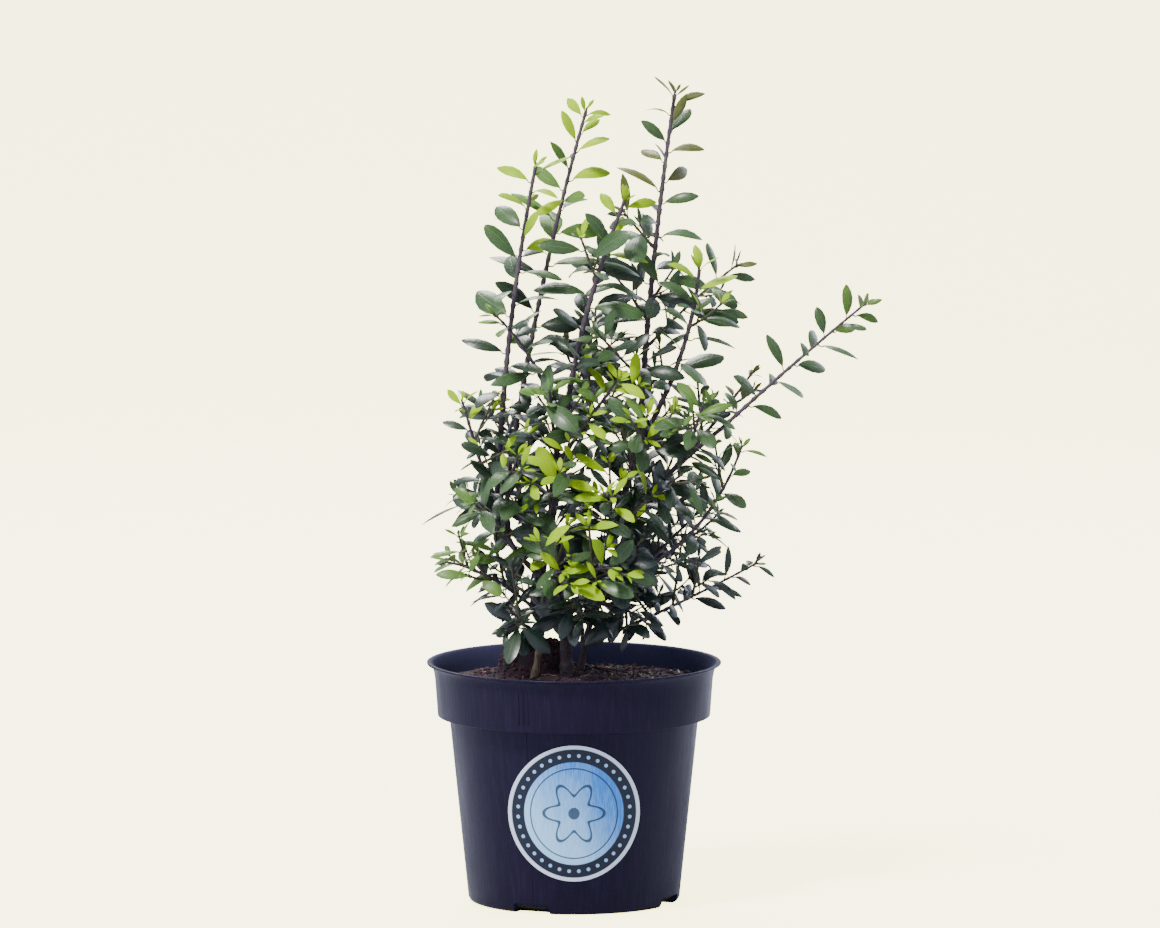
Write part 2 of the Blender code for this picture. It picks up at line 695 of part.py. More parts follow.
def make_leaf(shoot, share, turn, length, lean, light, draws, young):
    """Make one leaf: it leans out from its twig, faces the light and arches back."""
    heading = shoot.heading(share)
    side, front = across_directions(heading)
    angle = math.radians(turn)
    out = side * math.cos(angle) + front * math.sin(angle)
    slant = math.radians(lean)
    along = heading * math.cos(slant) + out * math.sin(slant)
    along.z = max(along.z, -light.droop)
    along.normalize()
    root = shoot.place(share) - along * (LEAF_SUNK * shoot.radius(share))
    outward = Vector((root.x - CROWN_MIDDLE[0], root.y - CROWN_MIDDLE[1], 0)).normalized()
    facing = heading * light.tip + outward * light.side + Vector((0, 0, light.above))
    up = facing - along * facing.dot(along)
    if up.length < 0.1:
        up = out - along * out.dot(along)
    roll = math.radians(draws.uniform(-LEAF_ROLL, LEAF_ROLL))
    up = Matrix.Rotation(roll, 3, along) @ up.normalized()
    width = length * LEAF_WIDTH * draws.uniform(0.88, 1.14)
    arch = LEAF_ARCH * draws.uniform(0.2, 1.6)
    return Leaf(root, along, up, length, width, arch, young)


def leaf_shares(shoot, bare, spacing):
    """Space the leaves along a shoot, closer towards its tip."""
    shares = []
    travelled = max(bare * shoot.length, shoot.foot_radius + spacing / 2)
    while travelled < shoot.length - 1:
        share = travelled / shoot.length
        shares.append(share)
        travelled += spacing * (1.12 - 0.5 * share)
    return shares


def grow_leaves(shoot, bare, habit, space, draws):
    """Set leaves in a spiral along a shoot, with a small tuft at its tip."""
    leaves = []
    turn = draws.uniform(0, 360)
    rows = [(share, False) for share in leaf_shares(shoot, bare, habit.spacing)]
    rows.extend((0.995, True) for tuft in range(3))
    for share, tuft in rows:
        turn += GOLDEN_ANGLE + draws.uniform(-12, 12)
        fullness = 0.72 + 0.28 * math.sin(math.pi * min(share * 1.15, 1))
        size = habit.leaf * fullness * draws.uniform(0.8, 1.12)
        lean = LEAF_LEAN_OLD + (LEAF_LEAN_YOUNG - LEAF_LEAN_OLD) * share ** 2 + draws.uniform(-13, 13)
        if tuft:
            size *= 0.62
            lean = 30 + draws.uniform(-10, 12)
        for extra, shrink in ((0, 1), (25, 0.95), (-25, 0.9), (50, 0.8), (-50, 0.7)):
            length = max(size * shrink, SMALLEST_LEAF)
            leaf = make_leaf(shoot, share, turn + extra, length, lean, habit.light, draws, share > 0.75)
            if space.leaf_is_clear(leaf, shoot):
                space.add_leaf(leaf)
                leaves.append(leaf)
                break
    return leaves


# Solids

def section_curve(sides, group):
    """Make the outline that a limb or twig is swept with: a polygon of radius 1."""
    curve = bpy.data.curves.new(f"section_{sides}", "CURVE")
    curve.dimensions = "2D"
    spline = curve.splines.new("POLY")
    spline.points.add(sides - 1)
    for index, point in enumerate(spline.points):
        angle = 2 * math.pi * index / sides
        point.co = (math.cos(angle), math.sin(angle), 0, 1)
    spline.use_cyclic_u = True
    section = add_object(f"section_{sides}", curve, group)
    hide_cutter(section)
    return section


def sweep(name, places, radii, section, group):
    """Sweep a section along places, close both ends, and give the result as a mesh object."""
    curve = bpy.data.curves.new(name, "CURVE")
    curve.dimensions = "3D"
    curve.bevel_mode = "OBJECT"
    curve.bevel_object = section
    curve.use_fill_caps = True
    spline = curve.splines.new("POLY")
    spline.points.add(len(places) - 1)
    for point, place, radius in zip(spline.points, places, radii):
        point.co = (*metres(place), 1)
        point.radius = radius * METRES_PER_MM
    thing = add_object(f"{name}_curve", curve, group)
    mesh = evaluated_mesh(thing)
    bpy.data.objects.remove(thing)
    shape = bmesh.new()
    shape.from_mesh(mesh)
    bmesh.ops.remove_doubles(shape, verts=shape.verts, dist=WELD)
    bmesh.ops.recalc_face_normals(shape, faces=shape.faces)
    shape.to_mesh(mesh)
    shape.free()
    return add_object(name, mesh, group)


def build_limb(name, shoot, section, group):
    """Make a stem or bough. A stem flares towards its flat foot."""
    shares = [step / LIMB_STEPS for step in range(LIMB_STEPS + 1)]
    if name in STEMS:
        flare_share = FLARE_RISE / shoot.length
        shares[1:1] = [flare_share * 0.25, flare_share * 0.6]
    places = [shoot.place(share) for share in shares]
    radii = []
    for share in shares:
        radius = shoot.radius(share)
        if name in STEMS:
            radius += FLARE_WIDTH * max(0, 1 - share * shoot.length / FLARE_RISE) ** 2
        radii.append(radius)
    limb = sweep(name, places, radii, section, group)
    if name in STEMS:
        for vertex in limb.data.vertices:
            if vertex.co.z < metres(shoot.foot).z + GAP * METRES_PER_MM * 2:
                vertex.co.z = metres(shoot.foot).z
    smooth(limb.data)
    colour = TAN_BARK_COLOUR if name == "stem_left" else BARK_COLOUR
    limb.data.materials.append(plain_material(f"{name}_bark", colour, 0.8))
    return limb


def leaf_mesh(leaf, name):
    """Shape a six-sided cone into a leaf: a pointed oval with a low ridge underneath."""
    shape = bmesh.new()
    ring = len(LEAF_OUTLINE)
    bmesh.ops.create_cone(shape, cap_ends=True, segments=ring, radius1=0, radius2=1, depth=1)
    bmesh.ops.remove_doubles(shape, verts=shape.verts, dist=WELD)
    outline = {}
    for vertex in shape.verts:
        if vertex.co.z < 0:
            place = leaf_point(leaf, LEAF_THICKEST, 0, -LEAF_THICKNESS)
        else:
            index = round(math.atan2(vertex.co.x, -vertex.co.y) / (2 * math.pi / ring)) % ring
            share, half = LEAF_OUTLINE[index]
            place = leaf_point(leaf, share, half * leaf.width / 2, 0)
            outline[index] = vertex
        vertex.co = metres(place)
    for index in range(1, ring // 2):
        across = [outline[index], outline[ring - index]]
        bmesh.ops.connect_verts(shape, verts=across)
    bmesh.ops.triangulate(shape, faces=shape.faces)
    mesh = bpy.data.meshes.new(name)
    shape.to_mesh(mesh)
    shape.free()
    return mesh


def twig_solid(name, shoot, section, group):
    """Make one three-sided twig."""
    radii = [shoot.radius(step / shoot.steps) for step in range(shoot.steps + 1)]
    return sweep(name, shoot.joints, radii, section, group)


def main_body(mesh):
    """Keep a mesh's largest connected piece and drop loose scraps."""
    shape = bmesh.new()
    shape.from_mesh(mesh)
    waiting = set(shape.verts)
    pieces = []
    while waiting:
        piece = set()
        front = [next(iter(waiting))]
        while front:
            vertex = front.pop()
            if vertex in piece:
                continue
            piece.add(vertex)
            front.extend(edge.other_vert(vertex) for edge in vertex.link_edges)
        waiting -= piece
        pieces.append(piece)
    pieces.sort(key=len)
    for piece in pieces[:-1]:
        bmesh.ops.delete(shape, geom=list(piece), context="VERTS")
    shape.to_mesh(mesh)
    shape.free()
    return len(pieces) - 1


def build_mass(name, leader, side_twigs, leaves, section, group):
    """Fuse a mass: the leading twig, its side twigs and its leaves, with one union."""
    parts = new_collection(f"{name}_parts")
    for index, twig in enumerate(side_twigs):
        twig_solid(f"{name}_side_{index + 1}", twig, section, parts)
    for index, leaf in enumerate(leaves):
        leaf_name = f"{name}_leaf_{index + 1}"
        add_object(leaf_name, leaf_mesh(leaf, leaf_name), parts)
    mass = twig_solid(name, leader, section, group)
    fuse = mass.modifiers.new("fuse", "BOOLEAN")
    fuse.operation = "UNION"
    fuse.operand_type = "COLLECTION"
    fuse.collection = parts
    fuse.solver = "MANIFOLD"
    mesh = evaluated_mesh(mass)
    mass.modifiers.clear()
    mass.data = mesh
    for thing in list(parts.objects):
        bpy.data.objects.remove(thing)
    bpy.data.collections.remove(parts)
    scraps = main_body(mesh)
    colour = SHADE_LEAF_COLOUR if MASSES[name].habit == "shade" else LEAF_COLOUR
    mesh.materials.clear()
    mesh.materials.append(plain_material(f"{name}_leaves", colour, 0.4))
    print(f"{name}: {len(side_twigs)} side twigs, {len(leaves)} leaves, {scraps} scraps dropped")
    return mass


def main():
    """Build the pot, its soil and label, and the plant."""
    clear_scene()
    group = new_collection(OBJECT_NAME)
    guides = new_collection("guides")
    limbs = grow_limbs()
    build_pot(group)
    build_soil(group, {name: limbs[name] for name in STEMS})
    build_label(group)
    round_section = section_curve(LIMB_SIDES, guides)
    twig_section = section_curve(TWIG_SIDES, guides)
    space = Space()
    for name, limb in limbs.items():
        build_limb(name, limb, round_section, group)
        space.add_twig(limb)
    leaders = grow_leaders(limbs)
    for leader in leaders.values():
        space.add_twig(leader)
    side_twigs = {name: grow_side_twigs(name, leader, space) for name, leader in leaders.items()}
    for name, leader in leaders.items():
        mass = MASSES[name]
        habit = HABITS[mass.habit]
        draws = random.Random(f"{name} leaves")
        leaves = []
        for twig in side_twigs[name]:
            leaves.extend(grow_leaves(twig, 0.3, habit, space, draws))
        leaves.extend(grow_leaves(leader, mass.bare, habit, space, draws))
        build_mass(name, leader, side_twigs[name], leaves, twig_section, group)


main()
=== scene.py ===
# %% [markdown]
# # A young japanese holly in a black nursery pot
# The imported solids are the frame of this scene. They fix where the pot stands and where each
# stem, bough and spray of leaves goes. Every step below swaps one of those faceted solids for
# the finished piece: turned plastic, damp peat, knobbly bark, and leaves with veins.
# Sizes are in millimetres, and MM turns them into Blender's metres.

# %% Load the frame
import math
import random
from collections import namedtuple

import bmesh
import bpy
import numpy as np
from mathutils import Matrix, Vector, noise
from mathutils.bvhtree import BVHTree


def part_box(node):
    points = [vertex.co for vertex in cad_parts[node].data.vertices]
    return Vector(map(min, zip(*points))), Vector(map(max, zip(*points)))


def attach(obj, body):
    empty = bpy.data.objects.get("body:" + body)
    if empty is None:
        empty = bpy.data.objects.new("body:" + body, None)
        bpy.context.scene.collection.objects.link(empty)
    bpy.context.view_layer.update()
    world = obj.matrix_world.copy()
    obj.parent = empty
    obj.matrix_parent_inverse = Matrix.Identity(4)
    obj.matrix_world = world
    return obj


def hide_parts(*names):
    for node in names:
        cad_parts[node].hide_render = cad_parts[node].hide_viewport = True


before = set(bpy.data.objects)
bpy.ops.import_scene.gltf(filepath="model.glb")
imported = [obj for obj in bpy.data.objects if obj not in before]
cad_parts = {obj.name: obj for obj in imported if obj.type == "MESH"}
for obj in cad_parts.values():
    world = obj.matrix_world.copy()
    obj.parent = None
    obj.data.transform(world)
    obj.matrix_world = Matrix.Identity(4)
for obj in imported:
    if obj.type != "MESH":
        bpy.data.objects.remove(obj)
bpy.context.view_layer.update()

MM = 0.001
WELD = 0.000002

# %% [markdown]
# ## A few hands
# Modelling operators act on whatever is selected, so each piece starts from a clean selection.
# These helpers keep that habit in one place, and give a finished piece its material, its body
# and the solids that it stands for.


# %% Helpers for modelling
def deselect():
    """Leave edit mode and select nothing."""
    if bpy.context.object and bpy.context.object.mode != "OBJECT":
        bpy.ops.object.mode_set(mode="OBJECT")
    bpy.ops.object.select_all(action="DESELECT")


def work_on(thing):
    """Make one object the selected and active one."""
    deselect()
    thing.select_set(True)
    bpy.context.view_layer.objects.active = thing


def edit(thing):
    """Open an object in edit mode with all of it selected."""
    work_on(thing)
    bpy.ops.object.mode_set(mode="EDIT")
    bpy.ops.mesh.select_all(action="SELECT")


def apply_modifiers(thing):
    """Apply an object's modifiers in their order."""
    work_on(thing)
    for modifier in list(thing.modifiers):
        bpy.ops.object.modifier_apply(modifier=modifier.name)


def settle(thing):
    """Put an object's place and turn into its mesh."""
    work_on(thing)
    bpy.ops.object.transform_apply(location=True, rotation=True, scale=True)


def shade(thing, angle=40):
    """Shade smooth, with sharp edges past an angle."""
    work_on(thing)
    bpy.ops.object.shade_smooth_by_angle(angle=math.radians(angle))


def count_triangles(thing):
    """Count the triangles of a mesh."""
    thing.data.calc_loop_triangles()
    return len(thing.data.loop_triangles)


def dress(thing, material, nodes):
    """Give a finished piece its material, its body and the solids that it replaces."""
    thing.data.materials.clear()
    thing.data.materials.append(material)
    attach(thing, "root")
    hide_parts(*nodes)
    print(f"{thing.name}: {count_triangles(thing)} triangles")


# %% [markdown]
# ## Camera
# The photograph looks at the front from a little above the pot's rim, from far away through a
# long lens, so that upright shoots stay parallel. The lens is worked out from the real width
# that one pixel covers at the plant.

# %% Camera
IMAGE_WIDTH = 1160
IMAGE_HEIGHT = 928
MM_PER_PIXEL = 0.5763
SENSOR_WIDTH = 36
CAMERA_DISTANCE = 9000
CAMERA_RISE = math.radians(7.25)
LOOK_AT = Vector((3.46, 0, 253.7))

camera_data = bpy.data.cameras.new("camera")
camera_data.sensor_width = SENSOR_WIDTH
camera_data.lens = SENSOR_WIDTH * CAMERA_DISTANCE / (IMAGE_WIDTH * MM_PER_PIXEL)
camera_data.clip_end = 100
camera = bpy.data.objects.new("camera", camera_data)
bpy.context.scene.collection.objects.link(camera)
view_line = Vector((0, -math.cos(CAMERA_RISE), math.sin(CAMERA_RISE)))
camera.location = (LOOK_AT + view_line * CAMERA_DISTANCE) * MM
camera.rotation_euler = (-view_line).to_track_quat("-Z", "Y").to_euler()
bpy.context.scene.camera = camera
print(f"camera: {camera_data.lens:.0f} mm lens, {CAMERA_DISTANCE / 1000} m away")

# %% [markdown]
# ## Light and floor
# A nursery photographs its plants in a pale studio: one soft lamp from above the left
# shoulder, a wide cool panel low on the left that the pot mirrors, two lamps behind that draw
# pale rims, and a pale surface that runs up behind the plant without a corner. The sweep is
# one sheet, bent where the floor turns into the wall. It is clear when it is seen from behind,
# so the plant can also be looked at from its back.


# %% Light and floor
def soft_lamp(name, place, size, power, colour):
    """Add a square lamp that points at the middle of the plant."""
    data = bpy.data.lights.new(name, "AREA")
    data.size = size * MM
    data.energy = power
    data.color = colour
    lamp = bpy.data.objects.new(name, data)
    bpy.context.scene.collection.objects.link(lamp)
    lamp.location = Vector(place) * MM
    lamp.rotation_euler = (LOOK_AT * MM - lamp.location).to_track_quat("-Z", "Y").to_euler()
    return lamp


soft_lamp("key_lamp", (-900, -1300, 2600), 560, 136, (1.0, 0.985, 0.95))
soft_lamp("left_panel", (-1900, -500, 500), 1400, 17, (0.78, 0.85, 1.0))
soft_lamp("rim_lamp", (1100, 1600, 900), 700, 10, (0.80, 0.84, 1.0))
soft_lamp("back_lamp", (-300, 1700, 1900), 900, 54, (1.0, 1.0, 0.98))

FLOOR_REACH = 4000
WALL_DISTANCE = 2200
SWEEP_RADIUS = 900
WALL_HEIGHT = 3000
SWEEP_STEPS = 16
PALE = (0.50, 0.52, 0.62, 1)
CREAM = (1.0, 0.94, 0.39, 1)
CREAM_STRENGTH = 5.3

deselect()
bpy.ops.mesh.primitive_plane_add(size=1, location=(0, 0, 0))
sweep = bpy.context.object
sweep.name = "studio_sweep"
sweep.scale = (2 * FLOOR_REACH * MM, (FLOOR_REACH + WALL_DISTANCE) * MM, 1)
sweep.location = (0, (WALL_DISTANCE - FLOOR_REACH) / 2 * MM, 0)
settle(sweep)
bpy.ops.object.mode_set(mode="EDIT")
bpy.ops.mesh.select_all(action="DESELECT")
sheet = bmesh.from_edit_mesh(sweep.data)
back_edge = WALL_DISTANCE * MM - WELD
for edge in sheet.edges:
    edge.select_set(all(vertex.co.y > back_edge for vertex in edge.verts))
bmesh.update_edit_mesh(sweep.data)
turn_step = math.pi / 2 / SWEEP_STEPS
for step in range(SWEEP_STEPS):
    slope = turn_step * (step + 0.5)
    stride = 2 * SWEEP_RADIUS * math.sin(turn_step / 2) * MM
    move = (0, stride * math.cos(slope), stride * math.sin(slope))
    bpy.ops.mesh.extrude_region_move(TRANSFORM_OT_translate={"value": move})
bpy.ops.mesh.extrude_region_move(TRANSFORM_OT_translate={"value": (0, 0, WALL_HEIGHT * MM)})
shade(sweep, 60)

pale_paint = bpy.data.materials.new("pale_sweep")
pale_paint.use_nodes = True
paint = pale_paint.node_tree
paint.nodes["Principled BSDF"].inputs["Base Color"].default_value = PALE
paint.nodes["Principled BSDF"].inputs["Roughness"].default_value = 0.9
paint.nodes["Principled BSDF"].inputs["Emission Color"].default_value = CREAM
seen_by = paint.nodes.new("ShaderNodeLightPath")
lift = paint.nodes.new("ShaderNodeMath")
lift.operation = "MULTIPLY"
lift.inputs[1].default_value = CREAM_STRENGTH
paint.links.new(seen_by.outputs["Is Camera Ray"], lift.inputs[0])
paint.links.new(lift.outputs[0], paint.nodes["Principled BSDF"].inputs["Emission Strength"])
facing = paint.nodes.new("ShaderNodeNewGeometry")
front = paint.nodes.new("ShaderNodeMath")
front.operation = "SUBTRACT"
front.inputs[0].default_value = 1
paint.links.new(facing.outputs["Backfacing"], front.inputs[1])
paint.links.new(front.outputs[0], paint.nodes["Principled BSDF"].inputs["Alpha"])
sweep.data.materials.append(pale_paint)

world = bpy.data.worlds.new("studio_air")
bpy.context.scene.world = world
world.use_nodes = True
world.node_tree.nodes["Background"].inputs["Color"].default_value = (0.84, 0.87, 1.0, 1)
world.node_tree.nodes["Background"].inputs["Strength"].default_value = 0.84
print("studio: four lamps, one sweep")

# %% [markdown]
# ## Surface recipes
# A surface that more than one piece needs is a node group with named sockets: leaf blade,
# bark, moulded plastic and peat. Each group puts out a colour, a roughness and a height, and
# each material places the group with its own colours. Noise reads Object coordinates, so it
# stays put on the plant. The leaf blade reads the leaf's own map, because veins follow it.


# %% Helpers for materials
def new_group(name, inputs, outputs):
    """Make a shader node group with named sockets and give its tree and both ends."""
    tree = bpy.data.node_groups.new(name, "ShaderNodeTree")
    for label, kind, value in inputs:
        socket = tree.interface.new_socket(name=label, in_out="INPUT", socket_type=f"NodeSocket{kind}")
        socket.default_value = value
    for label, kind in outputs:
        tree.interface.new_socket(name=label, in_out="OUTPUT", socket_type=f"NodeSocket{kind}")
    return tree, tree.nodes.new("NodeGroupInput").outputs, tree.nodes.new("NodeGroupOutput").inputs


def put(tree, value, socket):
    """Link an output to a socket, or set the socket to a constant."""
    if isinstance(value, bpy.types.NodeSocket):
        tree.links.new(value, socket)
    else:
        socket.default_value = value


def maths(tree, operation, *values):
    """Add a Math node."""
    node = tree.nodes.new("ShaderNodeMath")
    node.operation = operation
    for value, socket in zip(values, node.inputs):
        put(tree, value, socket)
    return node.outputs[0]


def blend_colours(tree, share, first, second, mode="MIX"):
    """Mix two colours by a share."""
    node = tree.nodes.new("ShaderNodeMix")
    node.data_type = "RGBA"
    node.blend_type = mode
    put(tree, share, node.inputs["Factor"])
    put(tree, first, node.inputs[6])
    put(tree, second, node.inputs[7])
    return node.outputs[2]


def ramp(tree, value, low, high, start=0.0, end=1.0):
    """Map a value between two limits, with soft ends."""
    node = tree.nodes.new("ShaderNodeMapRange")
    node.interpolation_type = "SMOOTHSTEP"
    for value_or_limit, socket in zip((value, low, high, start, end), node.inputs):
        put(tree, value_or_limit, socket)
    return node.outputs[0]


def noise_at(tree, place, scale, detail=3.0, roughness=0.55):
    """Add noise at a place, with its scale in lumps a metre."""
    node = tree.nodes.new("ShaderNodeTexNoise")
    put(tree, place, node.inputs["Vector"])
    node.inputs["Scale"].default_value = scale
    node.inputs["Detail"].default_value = detail
    node.inputs["Roughness"].default_value = roughness
    return node.outputs["Fac"]


def object_place(tree, stretch=(1, 1, 1)):
    """Give Object coordinates, stretched along the axes."""
    place = tree.nodes.new("ShaderNodeTexCoord").outputs["Object"]
    if stretch == (1, 1, 1):
        return place
    mapping = tree.nodes.new("ShaderNodeMapping")
    mapping.inputs["Scale"].default_value = stretch
    tree.links.new(place, mapping.inputs["Vector"])
    return mapping.outputs["Vector"]


def finish_material(name, group, values, bump_depth, **constants):
    """Make a material from a group's Color, Roughness and Height and the shader's constants."""
    material = bpy.data.materials.new(name)
    material.use_nodes = True
    tree = material.node_tree
    shader = tree.nodes["Principled BSDF"]
    surface = tree.nodes.new("ShaderNodeGroup")
    surface.node_tree = group
    for label, value in values.items():
        surface.inputs[label].default_value = value
    bump = tree.nodes.new("ShaderNodeBump")
    bump.inputs["Distance"].default_value = bump_depth * MM
    bump.inputs["Strength"].default_value = 1.0
    tree.links.new(surface.outputs["Height"], bump.inputs["Height"])
    tree.links.new(surface.outputs["Color"], shader.inputs["Base Color"])
    tree.links.new(surface.outputs["Roughness"], shader.inputs["Roughness"])
    tree.links.new(bump.outputs["Normal"], shader.inputs["Normal"])
    for label, value in constants.items():
        shader.inputs[label.replace("_", " ")].default_value = value
    return material


SURFACE = [("Color", "Color"), ("Roughness", "Float"), ("Height", "Float")]


# %% Leaf blade recipe
def make_leaf_blade():
    """Midrib, side veins, mottled green, and a pale matt underside where the map is past 1."""
    tree, given, out = new_group("leaf_blade", [
        ("Blade", "Color", (0.06, 0.13, 0.03, 1)),
        ("Mottle", "Color", (0.04, 0.10, 0.03, 1)),
        ("Vein", "Color", (0.14, 0.2, 0.06, 1)),
        ("Underside", "Color", (0.16, 0.22, 0.1, 1)),
        ("Gloss", "Float", 0.36),
    ], SURFACE)
    leaf_map = tree.nodes.new("ShaderNodeUVMap")
    leaf_map.uv_map = "UVMap"
    parts = tree.nodes.new("ShaderNodeSeparateXYZ")
    tree.links.new(leaf_map.outputs["UV"], parts.inputs[0])
    below = maths(tree, "GREATER_THAN", parts.outputs["X"], 1.0)
    across = maths(tree, "FRACT", parts.outputs["X"])
    from_midrib = maths(tree, "ABSOLUTE", maths(tree, "SUBTRACT", across, 0.5))
    midrib = ramp(tree, from_midrib, 0.012, 0.045, 1.0, 0.0)
    row = maths(tree, "SUBTRACT", maths(tree, "MULTIPLY", parts.outputs["Y"], 8.0),
                maths(tree, "MULTIPLY", from_midrib, 4.4))
    from_row = maths(tree, "ABSOLUTE", maths(tree, "SUBTRACT", maths(tree, "FRACT", row), 0.5))
    side_vein = maths(tree, "MULTIPLY", ramp(tree, from_row, 0.02, 0.1, 1.0, 0.0),
                      ramp(tree, from_midrib, 0.3, 0.44, 0.55, 0.0))
    veins = maths(tree, "MAXIMUM", midrib, side_vein)
    place = object_place(tree)
    broad = ramp(tree, noise_at(tree, place, 42, 2), 0.36, 0.64)
    fine = noise_at(tree, place, 620, 4)
    colour = blend_colours(tree, broad, given["Blade"], given["Mottle"])
    colour = blend_colours(tree, maths(tree, "MULTIPLY", ramp(tree, fine, 0.45, 0.7), 0.3), colour,
                           given["Vein"])
    colour = blend_colours(tree, maths(tree, "MULTIPLY", veins, 0.6), colour, given["Vein"])
    rim = maths(tree, "MULTIPLY", ramp(tree, from_midrib, 0.455, 0.5), 0.35)
    colour = blend_colours(tree, rim, colour, given["Vein"])
    pale = blend_colours(tree, maths(tree, "MULTIPLY", veins, 0.5), given["Underside"], given["Vein"])
    tree.links.new(blend_colours(tree, below, colour, pale), out["Color"])
    matt = maths(tree, "MULTIPLY", below, 0.22)
    rough = maths(tree, "ADD", given["Gloss"], maths(tree, "MULTIPLY", fine, 0.14))
    tree.links.new(maths(tree, "ADD", rough, matt), out["Roughness"])
    lift = maths(tree, "SUBTRACT", maths(tree, "MULTIPLY", below, 2.0), 1.0)
    relief = maths(tree, "MULTIPLY", veins, lift)
    tree.links.new(maths(tree, "ADD", relief, maths(tree, "MULTIPLY", fine, 0.5)), out["Height"])
    return tree


leaf_blade = make_leaf_blade()

# %% [markdown]
# ## Leaf colours
# On the real plant the newest leaves are yellow-green, the upper ones a fresh green, and the
# old ones a darker green. The leaves inside and low down are dealt near-black green and a
# bluish teal: partly their age, partly painted shade. Mixing the tone over the whole crown
# would blur that, so the tones are separate materials, and every spray is dealt its own.

# %% Leaf tones
Tone = namedtuple("Tone", "blade mottle vein underside gloss shine")
TONES = {
    "lime": Tone((0.30, 0.48, 0.001), (0.21, 0.38, 0.001), (0.40, 0.54, 0.02), (0.32, 0.44, 0.04), 0.40, 0.12),
    "bright": Tone((0.085, 0.185, 0.020), (0.060, 0.140, 0.018), (0.16, 0.24, 0.06), (0.17, 0.25, 0.08), 0.34, 0.28),
    "mid": Tone((0.034, 0.086, 0.019), (0.023, 0.062, 0.015), (0.08, 0.13, 0.045), (0.11, 0.17, 0.075), 0.32, 0.45),
    "olive": Tone((0.095, 0.110, 0.014), (0.060, 0.082, 0.013), (0.15, 0.15, 0.05), (0.16, 0.18, 0.08), 0.36, 0.3),
    # The dark tone and the bluish shaded teal are partly old leaves and partly painted shade
    "dark": Tone((0.012, 0.032, 0.012), (0.008, 0.022, 0.009), (0.035, 0.062, 0.027), (0.065, 0.105, 0.058), 0.29, 0.5),
    "teal": Tone((0.006, 0.019, 0.014), (0.004, 0.012, 0.010), (0.021, 0.042, 0.031), (0.045, 0.080, 0.060), 0.27, 0.55),
}
leaf_materials = {}
for tone_name, tone in TONES.items():
    leaf_materials[tone_name] = finish_material(
        f"leaf_{tone_name}", leaf_blade,
        {"Blade": (*tone.blade, 1), "Mottle": (*tone.mottle, 1), "Vein": (*tone.vein, 1),
         "Underside": (*tone.underside, 1), "Gloss": tone.gloss},
        0.12, Specular_IOR_Level=tone.shine, Coat_Weight=0.3 * tone.shine, Coat_Roughness=0.25)
print("leaf tones:", ", ".join(TONES))

# %% [markdown]
# ## Bark, plastic and peat
# Young holly bark is smooth and purple-brown with pale corky dots. The oldest stem has turned
# tan. The pot is black plastic whose skin keeps faint upright streaks from its mould, and dusty
# marks and splashed peat near the rim; its inside wall is painted lighter and bluer, a painted
# light. Peat is fine brown grain with paler fibre.


# %% Bark, plastic and peat recipes
def make_bark():
    """Streaks along the stem, pale corky dots and a grain that stands out."""
    tree, given, out = new_group("bark", [
        ("Bark", "Color", (0.05, 0.03, 0.03, 1)),
        ("Shade", "Color", (0.02, 0.013, 0.014, 1)),
        ("Dots", "Color", (0.2, 0.16, 0.1, 1)),
    ], SURFACE)
    streaks = noise_at(tree, object_place(tree, (1, 1, 0.22)), 900, 4)
    patches = noise_at(tree, object_place(tree), 160, 3)
    cells = tree.nodes.new("ShaderNodeTexVoronoi")
    cells.inputs["Scale"].default_value = 420
    put(tree, object_place(tree, (1, 1, 1.5)), cells.inputs["Vector"])
    dots = ramp(tree, cells.outputs["Distance"], 0.14, 0.26, 1.0, 0.0)
    dots = maths(tree, "MULTIPLY", dots, ramp(tree, patches, 0.42, 0.6))
    colour = blend_colours(tree, ramp(tree, streaks, 0.38, 0.64), given["Shade"], given["Bark"])
    colour = blend_colours(tree, maths(tree, "MULTIPLY", patches, 0.5), colour, given["Bark"])
    colour = blend_colours(tree, maths(tree, "MULTIPLY", dots, 0.75), colour, given["Dots"])
    tree.links.new(colour, out["Color"])
    tree.links.new(ramp(tree, streaks, 0.3, 0.7, 0.5, 0.82), out["Roughness"])
    tree.links.new(maths(tree, "ADD", streaks, dots), out["Height"])
    return tree


INSIDE_MATT = 0.3
# How far the inside wall is painted lighter and bluer: painted light
INSIDE_PAINTED_LIGHT = 0.8


